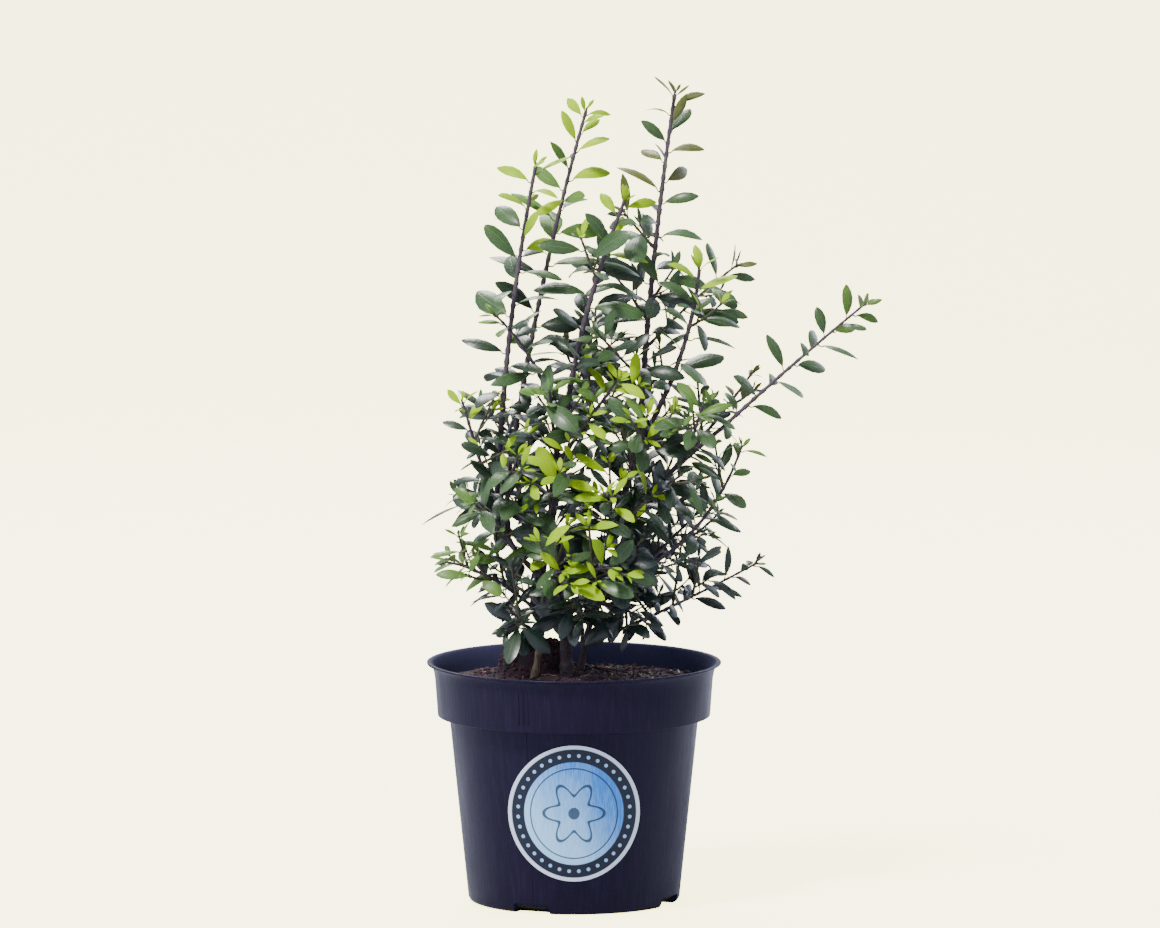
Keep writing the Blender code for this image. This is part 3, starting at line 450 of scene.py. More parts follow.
def make_plastic():
    """Upright mould streaks, fine scratches and a few dusty marks on black plastic, matt inside and painted lighter and
    bluer there as painted light.
    """
    tree, given, out = new_group("moulded_plastic", [
        ("Plastic", "Color", (0.008, 0.009, 0.012, 1)),
        ("Dust", "Color", (0.09, 0.085, 0.08, 1)),
        ("Gloss", "Float", 0.36),
    ], SURFACE)
    streaks = noise_at(tree, object_place(tree, (1, 1, 0.035)), 480, 3)
    cloud = noise_at(tree, object_place(tree, (1, 1, 0.3)), 34, 4)
    grain = noise_at(tree, object_place(tree), 2600, 2)
    marks = noise_at(tree, object_place(tree, (1, 1, 0.5)), 210, 6, 0.75)
    dust_and_painted_light = maths(tree, "MULTIPLY", ramp(tree, marks, 0.6, 0.78), ramp(tree, cloud, 0.35, 0.7))
    dust_and_painted_light = maths(tree, "ADD", maths(tree, "MULTIPLY", dust_and_painted_light, 0.5),
                 maths(tree, "MULTIPLY", ramp(tree, streaks, 0.4, 0.75), 0.09))
    inside = tree.nodes.new("ShaderNodeAttribute")
    inside.attribute_name = "inside"
    inside = inside.outputs["Fac"]
    # Painted light: the inside wall is blended toward the pale bluish colour
    dust_and_painted_light = maths(tree, "ADD", dust_and_painted_light, maths(tree, "MULTIPLY", inside, INSIDE_PAINTED_LIGHT))
    tree.links.new(blend_colours(tree, dust_and_painted_light, given["Plastic"], given["Dust"]), out["Color"])
    rough = maths(tree, "ADD", given["Gloss"], ramp(tree, cloud, 0.3, 0.7, -0.05, 0.11))
    rough = maths(tree, "ADD", rough, maths(tree, "MULTIPLY", dust_and_painted_light, 0.5))
    rough = maths(tree, "ADD", rough, maths(tree, "MULTIPLY", inside, INSIDE_MATT))
    tree.links.new(maths(tree, "MINIMUM", rough, 0.95), out["Roughness"])
    height = maths(tree, "ADD", maths(tree, "MULTIPLY", streaks, 1.0),
                   maths(tree, "MULTIPLY", grain, 0.18))
    tree.links.new(height, out["Height"])
    return tree


# Painted shade: the peat turns black below the first height, and the shade ends at the second
SHADE_DEEPEST_BELOW = 60
SHADE_ENDS_ABOVE = 115


def make_peat():
    """Brown grain with darker damp patches and paler specks, and painted shade that turns it black deep down."""
    tree, given, out = new_group("peat_grain", [
        ("Peat", "Color", (0.06, 0.028, 0.018, 1)),
        ("Damp", "Color", (0.016, 0.009, 0.008, 1)),
        ("Specks", "Color", (0.2, 0.13, 0.07, 1)),
    ], SURFACE)
    place = object_place(tree)
    damp = ramp(tree, noise_at(tree, place, 90, 4), 0.36, 0.66)
    grain = noise_at(tree, place, 1300, 5, 0.7)
    specks = ramp(tree, noise_at(tree, place, 2100, 2), 0.66, 0.74)
    colour = blend_colours(tree, damp, given["Damp"], given["Peat"])
    colour = blend_colours(tree, ramp(tree, grain, 0.3, 0.6), given["Damp"], colour)
    colour = blend_colours(tree, maths(tree, "MULTIPLY", specks, 0.6), colour, given["Specks"])
    parts = tree.nodes.new("ShaderNodeSeparateXYZ")
    put(tree, place, parts.inputs[0])
    # Painted shade: black towards the bottom of the pot, where the drain slots show it
    painted_deep_shade = ramp(tree, parts.outputs["Z"], SHADE_DEEPEST_BELOW * MM, SHADE_ENDS_ABOVE * MM, 0.95, 0.0)
    colour = blend_colours(tree, painted_deep_shade, colour, (0.001, 0.001, 0.001, 1))
    tree.links.new(colour, out["Color"])
    tree.links.new(ramp(tree, grain, 0.2, 0.8, 0.78, 0.98), out["Roughness"])
    tree.links.new(grain, out["Height"])
    return tree


bark = make_bark()
plastic = make_plastic()
peat = make_peat()

purple_bark = finish_material("purple_bark", bark, {
    "Bark": (0.078, 0.050, 0.070, 1), "Shade": (0.028, 0.018, 0.028, 1), "Dots": (0.15, 0.12, 0.12, 1)}, 0.25)
# A darker copy of the bark for the stems and boughs under the crown: partly older bark, partly painted shade
old_bark = finish_material("old_bark", bark, {
    "Bark": (0.066, 0.040, 0.052, 1), "Shade": (0.018, 0.011, 0.016, 1), "Dots": (0.17, 0.14, 0.12, 1)}, 0.35)
tan_bark = finish_material("tan_bark", bark, {
    "Bark": (0.17, 0.135, 0.075, 1), "Shade": (0.075, 0.055, 0.032, 1), "Dots": (0.28, 0.25, 0.17, 1)}, 0.25)
young_bark = finish_material("young_bark", bark, {
    "Bark": (0.070, 0.066, 0.034, 1), "Shade": (0.030, 0.022, 0.018, 1), "Dots": (0.14, 0.14, 0.08, 1)}, 0.12)
leaf_stalk = finish_material("leaf_stalk", bark, {
    "Bark": (0.11, 0.135, 0.035, 1), "Shade": (0.05, 0.062, 0.022, 1), "Dots": (0.15, 0.16, 0.07, 1)}, 0.05)
# The pale bluish colour serves both the dusty marks and the inside wall's painted light
pot_plastic = finish_material("pot_plastic", plastic, {
    "Plastic": (0.0088, 0.0052, 0.0165, 1), "Dust": (0.045, 0.045, 0.10, 1), "Gloss": 0.33}, 0.10,
    Specular_IOR_Level=0.13, Specular_Tint=(0.72, 0.78, 1.0, 1))
dark_peat = finish_material("dark_peat", peat, {
    "Peat": (0.092, 0.040, 0.056, 1), "Damp": (0.021, 0.010, 0.017, 1), "Specks": (0.30, 0.20, 0.20, 1)}, 0.9)
red_peat = finish_material("red_peat", peat, {
    "Peat": (0.125, 0.032, 0.046, 1), "Damp": (0.032, 0.010, 0.016, 1), "Specks": (0.28, 0.14, 0.13, 1)}, 0.6)
straw = finish_material("straw", bark, {
    "Bark": (0.36, 0.29, 0.22, 1), "Shade": (0.14, 0.10, 0.08, 1), "Dots": (0.44, 0.38, 0.30, 1)}, 0.1)
print("bark, plastic and peat materials are made")

# %% [markdown]
# ## The pot
# A nursery pot is one thin turned wall: a flat foot, a tapered body, a wider collar that lets
# pots stack, and a lip. Drawing that wall once as an outline and spinning it about the middle
# gives every ring at once. A bevel rounds the moulded edges, and four blocks cut the drain
# slots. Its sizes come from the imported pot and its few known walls.


# %% Helper for turned pieces
def turned(name, outline, steps):
    """Draw an outline of (radius, height) pairs with extrudes, and spin it about the Z axis."""
    deselect()
    bpy.ops.mesh.primitive_plane_add(size=MM, location=(0, 0, 0))
    thing = bpy.context.object
    thing.name = name
    bpy.ops.object.mode_set(mode="EDIT")
    bpy.ops.mesh.select_all(action="SELECT")
    bpy.ops.mesh.merge(type="CENTER")
    corners = [Vector((radius, 0, height)) * MM for radius, height in outline]
    bpy.ops.transform.translate(value=corners[0])
    for here, there in zip(corners, corners[1:]):
        bpy.ops.mesh.extrude_region_move(TRANSFORM_OT_translate={"value": there - here})
    bpy.ops.mesh.select_all(action="SELECT")
    bpy.ops.mesh.spin(steps=steps, angle=math.tau, center=(0, 0, 0), axis=(0, 0, 1))
    bpy.ops.mesh.select_all(action="SELECT")
    bpy.ops.mesh.remove_doubles(threshold=WELD)
    bpy.ops.mesh.normals_make_consistent(inside=False)
    bpy.ops.object.mode_set(mode="OBJECT")
    return thing


# %% Pot
pot_low, pot_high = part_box("pot")
POT_HEIGHT = (pot_high.z - pot_low.z) / MM
LIP_RADIUS = (pot_high.x - pot_low.x) / 2 / MM
COLLAR_TOP_RADIUS = 80.8
COLLAR_FOOT_RADIUS = 78.7
COLLAR_FOOT_HEIGHT = 107.9
BODY_TOP_RADIUS = 72.0
BODY_FOOT_RADIUS = 60.8
FOOT_ROUNDING = 2.6
WALL = 1.4
FLOOR = 2.0
POT_STEPS = 160
EDGE_ROUNDING = 0.42
DRAIN_WIDTH = 22.0
DRAIN_HEIGHT = 5.7
DRAIN_DEPTH = 20.0
DRAIN_COUNT = 4
DRAIN_TURN = -24.0

# The wall flares a little under the lip's thin flange: radius and distance below the top
RIM_INSIDE = ((79.0, 10.0), (79.5, 7.0), (79.9, 5.0), (80.6, 3.0), (81.4, 0.9), (81.9, 0.2), (82.9, 0.0))
RIM_OUTSIDE = ((82.9, 1.6), (82.2, 2.2), (81.5, 3.6), (80.9, 5.8), (80.4, 8.5), (80.1, 11.5))
LIP_ROUNDING = 0.6
LIP_TURNS = (90, 65, 40, 15, -10, -35, -60, -80)


def body_radius(height):
    """Outer radius of the pot's tapered body."""
    return BODY_FOOT_RADIUS + (BODY_TOP_RADIUS - BODY_FOOT_RADIUS) * height / COLLAR_FOOT_HEIGHT


def collar_radius(height):
    """Outer radius of the collar under the lip."""
    share = (height - COLLAR_FOOT_HEIGHT) / (POT_HEIGHT - COLLAR_FOOT_HEIGHT)
    return COLLAR_FOOT_RADIUS + (COLLAR_TOP_RADIUS - COLLAR_FOOT_RADIUS) * share


inner_step = COLLAR_FOOT_HEIGHT + WALL
pot_outline = [
    (0, FLOOR),
    (body_radius(FLOOR) - 3 * WALL, FLOOR),
    (body_radius(2 * FLOOR) - WALL, 2 * FLOOR),
    (body_radius(inner_step) - WALL, inner_step),
    (collar_radius(inner_step) - WALL, inner_step + WALL),
]
pot_outline.extend((radius, POT_HEIGHT - below) for radius, below in RIM_INSIDE)
for lip_turn in LIP_TURNS:
    turn = math.radians(lip_turn)
    pot_outline.append((LIP_RADIUS - LIP_ROUNDING * (1 - math.cos(turn)),
                        POT_HEIGHT - LIP_ROUNDING * (1 - math.sin(turn))))
pot_outline.extend((radius, POT_HEIGHT - below) for radius, below in RIM_OUTSIDE)
pot_outline.extend([
    (COLLAR_FOOT_RADIUS, COLLAR_FOOT_HEIGHT),
    (body_radius(COLLAR_FOOT_HEIGHT), COLLAR_FOOT_HEIGHT),
    (body_radius(FOOT_ROUNDING), FOOT_ROUNDING),
    (body_radius(0) - 0.3 * FOOT_ROUNDING, 0.7),
    (body_radius(0) - FOOT_ROUNDING, 0),
    (0, 0),
])
pot = turned("nursery_pot", pot_outline, POT_STEPS)
round_edges = pot.modifiers.new("round_edges", "BEVEL")
round_edges.width = EDGE_ROUNDING * MM
round_edges.segments = 3
round_edges.limit_method = "ANGLE"
round_edges.angle_limit = math.radians(32)
apply_modifiers(pot)
for index in range(DRAIN_COUNT):
    turn = math.radians(DRAIN_TURN - 90 + 360 * index / DRAIN_COUNT)
    middle = Vector((math.cos(turn), math.sin(turn), 0)) * BODY_FOOT_RADIUS * MM
    deselect()
    bpy.ops.mesh.primitive_cube_add(size=1, location=middle, rotation=(0, 0, turn))
    cutter = bpy.context.object
    cutter.scale = Vector((DRAIN_DEPTH, DRAIN_WIDTH, 2 * DRAIN_HEIGHT)) * MM
    settle(cutter)
    edit(cutter)
    bpy.ops.mesh.bevel(offset=1.2 * MM, segments=3)
    bpy.ops.object.mode_set(mode="OBJECT")
    slot_cut = pot.modifiers.new("drain_slot", "BOOLEAN")
    slot_cut.operation = "DIFFERENCE"
    slot_cut.solver = "EXACT"
    slot_cut.object = cutter
    apply_modifiers(pot)
    bpy.data.objects.remove(cutter)
shade(pot, 28)
inside = pot.data.attributes.new("inside", "FLOAT", "POINT")
for vertex in pot.data.vertices:
    away = Vector((vertex.co.x, vertex.co.y, 0)).normalized()
    inside.data[vertex.index].value = max(0, min(1, -2 * vertex.normal.dot(away)))
dress(pot, pot_plastic, ["pot"])

# %% [markdown]
# ## Mould seam
# The two halves of the pot's mould meet in a seam: three short upright ribs on the collar and
# one thin line down the body. Each rib is a cube, stretched, leaned to the wall's taper and
# sunk in it, with its edges bevelled.

# %% Mould seam
SEAM_TURN = -21.6
RIB_STEP = 2.0
RIB_PROUD = 0.35

# Each rib: turn from the front in degrees, foot height, top height, width
SEAM_RIBS = (
    (SEAM_TURN - RIB_STEP, 112.3, 131.8, 0.9),
    (SEAM_TURN, 112.3, 131.8, 0.9),
    (SEAM_TURN + RIB_STEP, 112.3, 131.8, 0.9),
    (SEAM_TURN - 0.5 * RIB_STEP, 90.0, 106.8, 0.45),
    (SEAM_TURN - 0.5 * RIB_STEP, 4.0, 28.0, 0.45),
)


def wall_radius(height):
    """Outer radius of the pot at a height."""
    return collar_radius(height) if height > COLLAR_FOOT_HEIGHT else body_radius(height)


ribs = []
for rib_turn, low, high, width in SEAM_RIBS:
    turn = math.radians(rib_turn - 90)
    taper = math.atan2(wall_radius(high) - wall_radius(low), high - low)
    reach = wall_radius((low + high) / 2) + (RIB_PROUD - width) / 2
    middle = Vector((math.cos(turn) * reach, math.sin(turn) * reach, (low + high) / 2)) * MM
    deselect()
    bpy.ops.mesh.primitive_cube_add(size=1, location=middle, rotation=(0, taper, turn))
    rib = bpy.context.object
    rib.scale = Vector((RIB_PROUD + width, width, high - low)) * MM
    settle(rib)
    edit(rib)
    bpy.ops.mesh.bevel(offset=0.25 * RIB_PROUD * MM, segments=2)
    bpy.ops.object.mode_set(mode="OBJECT")
    ribs.append(rib)
deselect()
for rib in ribs:
    rib.select_set(True)
bpy.context.view_layer.objects.active = ribs[0]
bpy.ops.object.join()
seam = bpy.context.object
seam.name = "mould_seam"
shade(seam, 50)
dress(seam, pot_plastic, ["pot"])

# %% [markdown]
# ## The round label
# A thin film label is stuck on the front and wraps round the taper. It starts as a flat disc
# with inset rings, so that it has points to bend with, and each point is then pushed back
# onto the pot. The print is generic: a pale blue disc with a wavy rosette, and a dark border
# with evenly spaced dots inside a white rim.

# %% Label
LABEL_WIDTH = 75.5
LABEL_HEIGHT = 80.0
LABEL_MIDDLE = 60.1
LABEL_RINGS = 9
LABEL_SIDES = 128
LABEL_LIFT = 0.12
LABEL_FILM = 0.22

deselect()
bpy.ops.mesh.primitive_circle_add(vertices=LABEL_SIDES, radius=0.5, fill_type="NGON")
label = bpy.context.object
label.name = "round_label"
bpy.ops.object.mode_set(mode="EDIT")
bpy.ops.mesh.select_all(action="SELECT")
for ring in range(LABEL_RINGS):
    bpy.ops.mesh.inset(thickness=0.5 / (LABEL_RINGS + 1), use_even_offset=False)
bpy.ops.mesh.poke()
bpy.ops.object.mode_set(mode="OBJECT")
for vertex in label.data.vertices:
    x = vertex.co.x * LABEL_WIDTH
    z = vertex.co.y * LABEL_HEIGHT + LABEL_MIDDLE
    reach = body_radius(z) + LABEL_LIFT
    vertex.co = Vector((x, -math.sqrt(reach * reach - x * x), z)) * MM
film = label.modifiers.new("film", "SOLIDIFY")
film.thickness = LABEL_FILM * MM
film.offset = 1
apply_modifiers(label)
edit(label)
bpy.ops.mesh.normals_make_consistent(inside=False)
bpy.ops.object.mode_set(mode="OBJECT")
shade(label, 50)


def make_label_print():
    """Rings, dots and a rosette by the distance from the label's middle, with faint brushing."""
    tree, given, out = new_group("label_print", [
        ("Blue", "Color", (0.05, 0.30, 0.75, 1)),
        ("Pale", "Color", (0.35, 0.65, 0.95, 1)),
        ("White", "Color", (0.70, 0.75, 0.80, 1)),
        ("Ink", "Color", (0.010, 0.013, 0.018, 1)),
    ], SURFACE)
    parts = tree.nodes.new("ShaderNodeSeparateXYZ")
    put(tree, object_place(tree), parts.inputs[0])
    right = maths(tree, "DIVIDE", parts.outputs["X"], LABEL_WIDTH / 2 * MM)
    above = maths(tree, "SUBTRACT", parts.outputs["Z"], LABEL_MIDDLE * MM)
    up = maths(tree, "DIVIDE", above, LABEL_HEIGHT / 2 * MM)
    reach = maths(tree, "SQRT", maths(tree, "ADD", maths(tree, "MULTIPLY", right, right),
                                      maths(tree, "MULTIPLY", up, up)))
    around = maths(tree, "ARCTAN2", up, right)

    def ring(middle, half, soft=0.008):
        """Mask a ring of the disc."""
        off = maths(tree, "ABSOLUTE", maths(tree, "SUBTRACT", reach, middle))
        return ramp(tree, off, half - soft, half + soft, 1.0, 0.0)

    border = ring(0.851, 0.095)
    turns = maths(tree, "MULTIPLY", around, 36 / math.tau)
    off_dot = maths(tree, "ABSOLUTE", maths(tree, "SUBTRACT", maths(tree, "FRACT", turns), 0.5))
    off_ring = maths(tree, "ABSOLUTE", maths(tree, "SUBTRACT", reach, 0.851))
    dot_size = maths(tree, "ADD", maths(tree, "POWER", maths(tree, "MULTIPLY", off_dot, 5.2), 2.0),
                     maths(tree, "POWER", maths(tree, "MULTIPLY", off_ring, 36.0), 2.0))
    dots = ramp(tree, dot_size, 0.7, 1.2, 1.0, 0.0)
    petals = maths(tree, "MULTIPLY", maths(tree, "COSINE", maths(tree, "MULTIPLY", around, 6.0)), 0.10)
    off_wave = maths(tree, "ABSOLUTE", maths(tree, "SUBTRACT", reach, maths(tree, "ADD", petals, 0.36)))
    wave = ramp(tree, off_wave, 0.018, 0.030, 1.0, 0.0)
    lines = maths(tree, "MAXIMUM", ring(0.66, 0.010, 0.004), wave)
    lines = maths(tree, "MAXIMUM", lines, ramp(tree, reach, 0.08, 0.095, 1.0, 0.0))
    brushed = noise_at(tree, object_place(tree, (1, 1, 0.03)), 1500, 3)
    cloud = noise_at(tree, object_place(tree, (1, 1, 0.2)), 70, 2)
    towards = maths(tree, "ADD", right, up)
    sheen = maths(tree, "ADD", ramp(tree, towards, -1.0, 0.9, 0.9, 0.0),
                  maths(tree, "MULTIPLY", ramp(tree, cloud, 0.3, 0.7), 0.25))
    sheen = maths(tree, "ADD", sheen, ramp(tree, brushed, 0.35, 0.65, -0.12, 0.12))
    disc = blend_colours(tree, sheen, given["Blue"], given["Pale"])
    colour = blend_colours(tree, maths(tree, "MULTIPLY", lines, 0.85), disc, given["Ink"])
    colour = blend_colours(tree, ramp(tree, reach, 0.93, 0.95), colour, given["White"])
    colour = blend_colours(tree, border, colour, given["Ink"])
    colour = blend_colours(tree, maths(tree, "MULTIPLY", dots, 0.75), colour, given["Pale"])
    tree.links.new(colour, out["Color"])
    tree.links.new(ramp(tree, brushed, 0.3, 0.7, 0.34, 0.46), out["Roughness"])
    tree.links.new(maths(tree, "SUBTRACT", maths(tree, "MULTIPLY", brushed, 0.2), border), out["Height"])
    return tree


label_film = finish_material("label_film", make_label_print(), {
    "Blue": (0.022, 0.20, 0.62, 1), "Pale": (0.37, 0.69, 0.98, 1), "White": (0.66, 0.74, 0.84, 1),
    "Ink": (0.006, 0.009, 0.022, 1)}, 0.03, Metallic=0.2, Specular_IOR_Level=0.4)
dress(label, label_film, ["label"])

# %% [markdown]
# ## The peat
# The fill is one turned block whose top is pushed up by a height rule: a low crown round the
# stems, a heap behind them, and lumps from layered noise. A smooth skin never looks like peat,
# so loose crumbs, chips and fibres lie on it. Each kind of crumb is modelled once, and copies
# of its mesh are joined into one piece.

# %% Peat block
SOIL_LEVEL = 126.5
CROWN_RISE = 6.5
CROWN_SPREAD = 30.0
HEAP_RISE = 17.5
HEAP_SPREAD = 21.0
HEAP_PLACE = (-23.0, 20.0)
GAP = 0.3
SOIL_RINGS = 56
SOIL_STEPS = 200
LUMP_RISE = 1.3


def soil_height(x, y):
    """Height of the soil: a low crown round the stems and a steep, flat heap behind them."""
    crown = CROWN_RISE * math.exp(-(x * x + y * y) / (2 * CROWN_SPREAD ** 2))
    heap_x = x - HEAP_PLACE[0]
    heap_y = y - HEAP_PLACE[1]
    heap = HEAP_RISE * math.exp(-((heap_x ** 2 + heap_y ** 2) / HEAP_SPREAD ** 2) ** 3)
    return SOIL_LEVEL + crown + heap


def lumpy_height(x, y):
    """Soil height with its lumps and pits."""
    broad = noise.fractal(Vector((x, y, 0)) / 11, 1.0, 2.1, 3)
    fine = noise.fractal(Vector((x, y, 7)) / 3.2, 0.9, 2.2, 3)
    return soil_height(x, y) + LUMP_RISE * (0.75 * broad + 0.5 * fine)


soil_edge = collar_radius(SOIL_LEVEL) - WALL - GAP
soil_outline = [(soil_edge * ring / SOIL_RINGS, SOIL_LEVEL) for ring in range(SOIL_RINGS + 1)]
soil_outline.extend([
    (collar_radius(inner_step) - WALL - GAP, inner_step + 2 * WALL),
    (body_radius(inner_step) - WALL - GAP, inner_step + WALL),
    (body_radius(2 * FLOOR) - WALL - GAP, 2 * FLOOR + GAP),
    (body_radius(FLOOR) - 3 * WALL - GAP, FLOOR + GAP),
    (0, FLOOR + GAP),
])
soil = turned("peat", soil_outline, SOIL_STEPS)
for vertex in soil.data.vertices:
    x, y, z = vertex.co / MM
    if abs(z - SOIL_LEVEL) < GAP:
        inside = min(1, (soil_edge - math.hypot(x, y)) / 3)
        vertex.co.z = (SOIL_LEVEL + (lumpy_height(x, y) - SOIL_LEVEL) * inside) * MM
shade(soil, 60)
dress(soil, dark_peat, ["soil"])


# %% Helper for joined copies
def mesh_lists(thing):
    """Read a model's points, faces and map as arrays."""
    data = thing.data
    points = np.empty(len(data.vertices) * 3)
    data.vertices.foreach_get("co", points)
    faces = [tuple(face.vertices) for face in data.polygons]
    layer = data.uv_layers.active
    corners = np.empty(len(data.loops) * 2)
    if layer:
        layer.uv.foreach_get("vector", corners)
    return points.reshape(-1, 3), faces, corners


def join_copies(name, faces, corners, copies):
    """Join moved copies of one model into a mesh object with the model's map."""
    size = len(copies[0])
    points = np.concatenate(copies)
    all_faces = []
    for index in range(len(copies)):
        start = index * size
        all_faces.extend(tuple(corner + start for corner in face) for face in faces)
    data = bpy.data.meshes.new(name)
    data.from_pydata(points.tolist(), [], all_faces)
    layer = data.uv_layers.new(name="UVMap")
    layer.uv.foreach_set("vector", np.tile(corners, len(copies)))
    thing = bpy.data.objects.new(name, data)
    bpy.context.scene.collection.objects.link(thing)
    return thing


# %% Crumbs, chips and fibres
CRUMB_REACH = soil_edge - 2.5
CRUMB_KINDS = {
    "dark_crumbs": (dark_peat, 1150, 0.45, 1.8, 0.75, 0.0),
    "red_crumbs": (red_peat, 900, 0.4, 1.6, 0.7, 0.62),
    "straw_chips": (straw, 110, 0.4, 0.9, 0.28, 0.1),
}
CHIP_LENGTH = 4.0


def model_crumb(seed):
    """Model one crumb: a small ball pushed in and out by noise."""
    deselect()
    bpy.ops.mesh.primitive_ico_sphere_add(subdivisions=2, radius=1)
    crumb = bpy.context.object
    for vertex in crumb.data.vertices:
        vertex.co *= 1 + 0.5 * noise.noise(vertex.co * 1.4 + Vector((seed, 0, 0)))
    return crumb


def scatter_crumbs(name, kind, seed):
    """Lay crumbs of one kind on the soil, a share of them on the heap."""
    material, count, smallest, largest, flatness, heaped = kind
    draws = random.Random(name)
    crumb = model_crumb(seed)
    points, faces, corners = mesh_lists(crumb)
    bpy.data.objects.remove(crumb)
    copies = []
    for index in range(count):
        reach = CRUMB_REACH * math.sqrt(draws.random())
        turn = draws.uniform(0, math.tau)
        x = reach * math.cos(turn)
        y = reach * math.sin(turn)
        if index < heaped * count:
            x = HEAP_PLACE[0] + draws.gauss(0, 0.6 * HEAP_SPREAD)
            y = HEAP_PLACE[1] + draws.gauss(0, 0.6 * HEAP_SPREAD)
        size = smallest + (largest - smallest) * draws.random() ** 2.5
        length = size * (CHIP_LENGTH if name == "straw_chips" else draws.uniform(0.8, 1.4))
        stretch = np.array((length, size * draws.uniform(0.7, 1), size * flatness))
        spin = Matrix.Rotation(draws.uniform(0, math.tau), 3, "Z")
        tilt = Matrix.Rotation(draws.uniform(-0.35, 0.35), 3, "Y")
        place = np.array((x, y, lumpy_height(x, y) + size * flatness * 0.35))
        copies.append(((points * stretch) @ np.array(spin @ tilt).T + place) * MM)
    pile = join_copies(name, faces, corners, copies)
    shade(pile, 50)
    dress(pile, material, ["soil"])


for seed, (name, kind) in enumerate(CRUMB_KINDS.items()):
    scatter_crumbs(name, kind, 3.7 * seed + 1)

FIBRE_COUNT = 46
FIBRE_LENGTH = 11.0
FIBRE_RADIUS = 0.16

draws = random.Random("fibres")
fibre_curve = bpy.data.curves.new("peat_fibres", "CURVE")
fibre_curve.dimensions = "3D"
fibre_curve.bevel_depth = MM
fibre_curve.bevel_resolution = 0
fibre_curve.use_fill_caps = True
for index in range(FIBRE_COUNT):
    reach = (CRUMB_REACH - FIBRE_LENGTH / 2) * math.sqrt(draws.random())
    turn = draws.uniform(0, math.tau)
    place = Vector((reach * math.cos(turn), reach * math.sin(turn), 0))
    way = draws.uniform(0, math.tau)
    strand = fibre_curve.splines.new("POLY")
    strand.points.add(5)
    for point in strand.points:
        point.co = (*(Vector((place.x, place.y, lumpy_height(place.x, place.y) + 0.9)) * MM), 1)
        point.radius = FIBRE_RADIUS
        way += draws.uniform(-0.5, 0.5)
        place += Vector((math.cos(way), math.sin(way), 0)) * FIBRE_LENGTH / 5
fibres = bpy.data.objects.new("peat_fibres", fibre_curve)
bpy.context.scene.collection.objects.link(fibres)
work_on(fibres)
bpy.ops.object.convert(target="MESH")
fibres = bpy.context.object
edit(fibres)
bpy.ops.mesh.remove_doubles(threshold=WELD)
bpy.ops.mesh.normals_make_consistent(inside=False)
bpy.ops.object.mode_set(mode="OBJECT")
dress(fibres, straw, ["soil"])

# %% [markdown]
# ## How the plant grows
# The crown isn't drawn leaf by leaf. A few stems and boughs, named with their real places,
# carry leading twigs, and seeded rules add side twigs, short shoots and leaves. The same
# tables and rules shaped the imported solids, so the finished crown fills the same space. Each
# shoot is a bowed line with a taper.

# %% Sizes of the plant
Stem = namedtuple("Stem", "foot tip bow foot_radius tip_radius")
Bough = namedtuple("Bough", "carrier share tip bow foot_radius tip_radius")
Mass = namedtuple("Mass", "carrier share tip bow habit bare sides")
Habit = namedtuple("Habit", "radius tip leaf spacing reach light blade")
Light = namedtuple("Light", "tip side above droop")

STEM_SEAT = 1.6
FLARE_RISE = 12.0
FLARE_WIDTH = 1.0
SIDE_GAP = 0.25
FOOT_FACET = 0.85
TWIG_BEND = 0.35
TWIG_TIP_RADIUS = 0.6
SIDE_TWIG_RADIUS = 0.85
SIDE_TWIG_ANGLE = 52.0
SIDE_TWIG_LIFT = 0.35
GOLDEN_ANGLE = 137.5
LOWEST_LEAF = 143.0
SOIL_CLEARANCE = 2.0
CLEARANCE = 0.75

# A stem's foot is only its place on the soil: the soil gives its height
STEMS = {
    "stem_left": Stem((-23, -9), (-16.5, -14, 186), (1, 0, 0), 2.0, 1.8),
    "stem_middle": Stem((-4, -5), (-9, -4, 184), (1, 0, 0), 3.8, 2.5),
    "stem_right": Stem((3, 4), (11, 7, 168), (0, 1, 0), 2.1, 1.8),
}

# A bough starts at a share of its carrier's length, and at share 1 it carries on from the tip
BOUGHS = {
    "bough_left": Bough("stem_left", 1, (-43, -16, 218), (0, 0, -2), 1.7, 1.5),
    "bough_left_front": Bough("bough_left", 1, (-43, -15, 258), (-1, 0, 0), 1.6, 1.5),
    "bough_left_back": Bough("bough_left", 0.8, (-34, 5, 270), (-2, 0, 0), 1.6, 1.5),
    "bough_right": Bough("stem_middle", 0.84, (29, -6, 223), (0, 0, -2), 2.3, 2.0),
    "bough_right_upright": Bough("bough_right", 0.78, (38, 2, 276), (1, 0, 0), 1.9, 1.6),
    "bough_right_arm": Bough("bough_right", 1, (85, -12, 276), (0, -3, 2), 1.7, 1.3),
    "bough_right_low": Bough("stem_right", 1, (44, -8, 196), (0, 2, 0), 1.6, 1.3),
    "bough_middle": Bough("stem_middle", 1, (-5, -10, 282), (-6, 4, 0), 1.9, 1.5),
    "bough_back_left": Bough("stem_middle", 0.55, (-30, 36, 216), (0, 3, -2), 1.7, 1.3),
    "bough_back_right": Bough("stem_right", 0.73, (30, 38, 210), (0, 3, -2), 1.6, 1.2),
    "bough_back_middle": Bough("bough_middle", 0.4, (4, 34, 264), (-2, 3, 0), 1.5, 1.2),
}

# Which way leaves face: how much of their light comes from the twig's tip, the side and above
OPEN_LIGHT = Light(0.15, 0.55, 0.65, 0.1)
SIDE_LIGHT = Light(0.35, 0.5, 0.7, 0.1)
LOW_LIGHT = Light(0.35, 0.5, 0.7, 0.55)

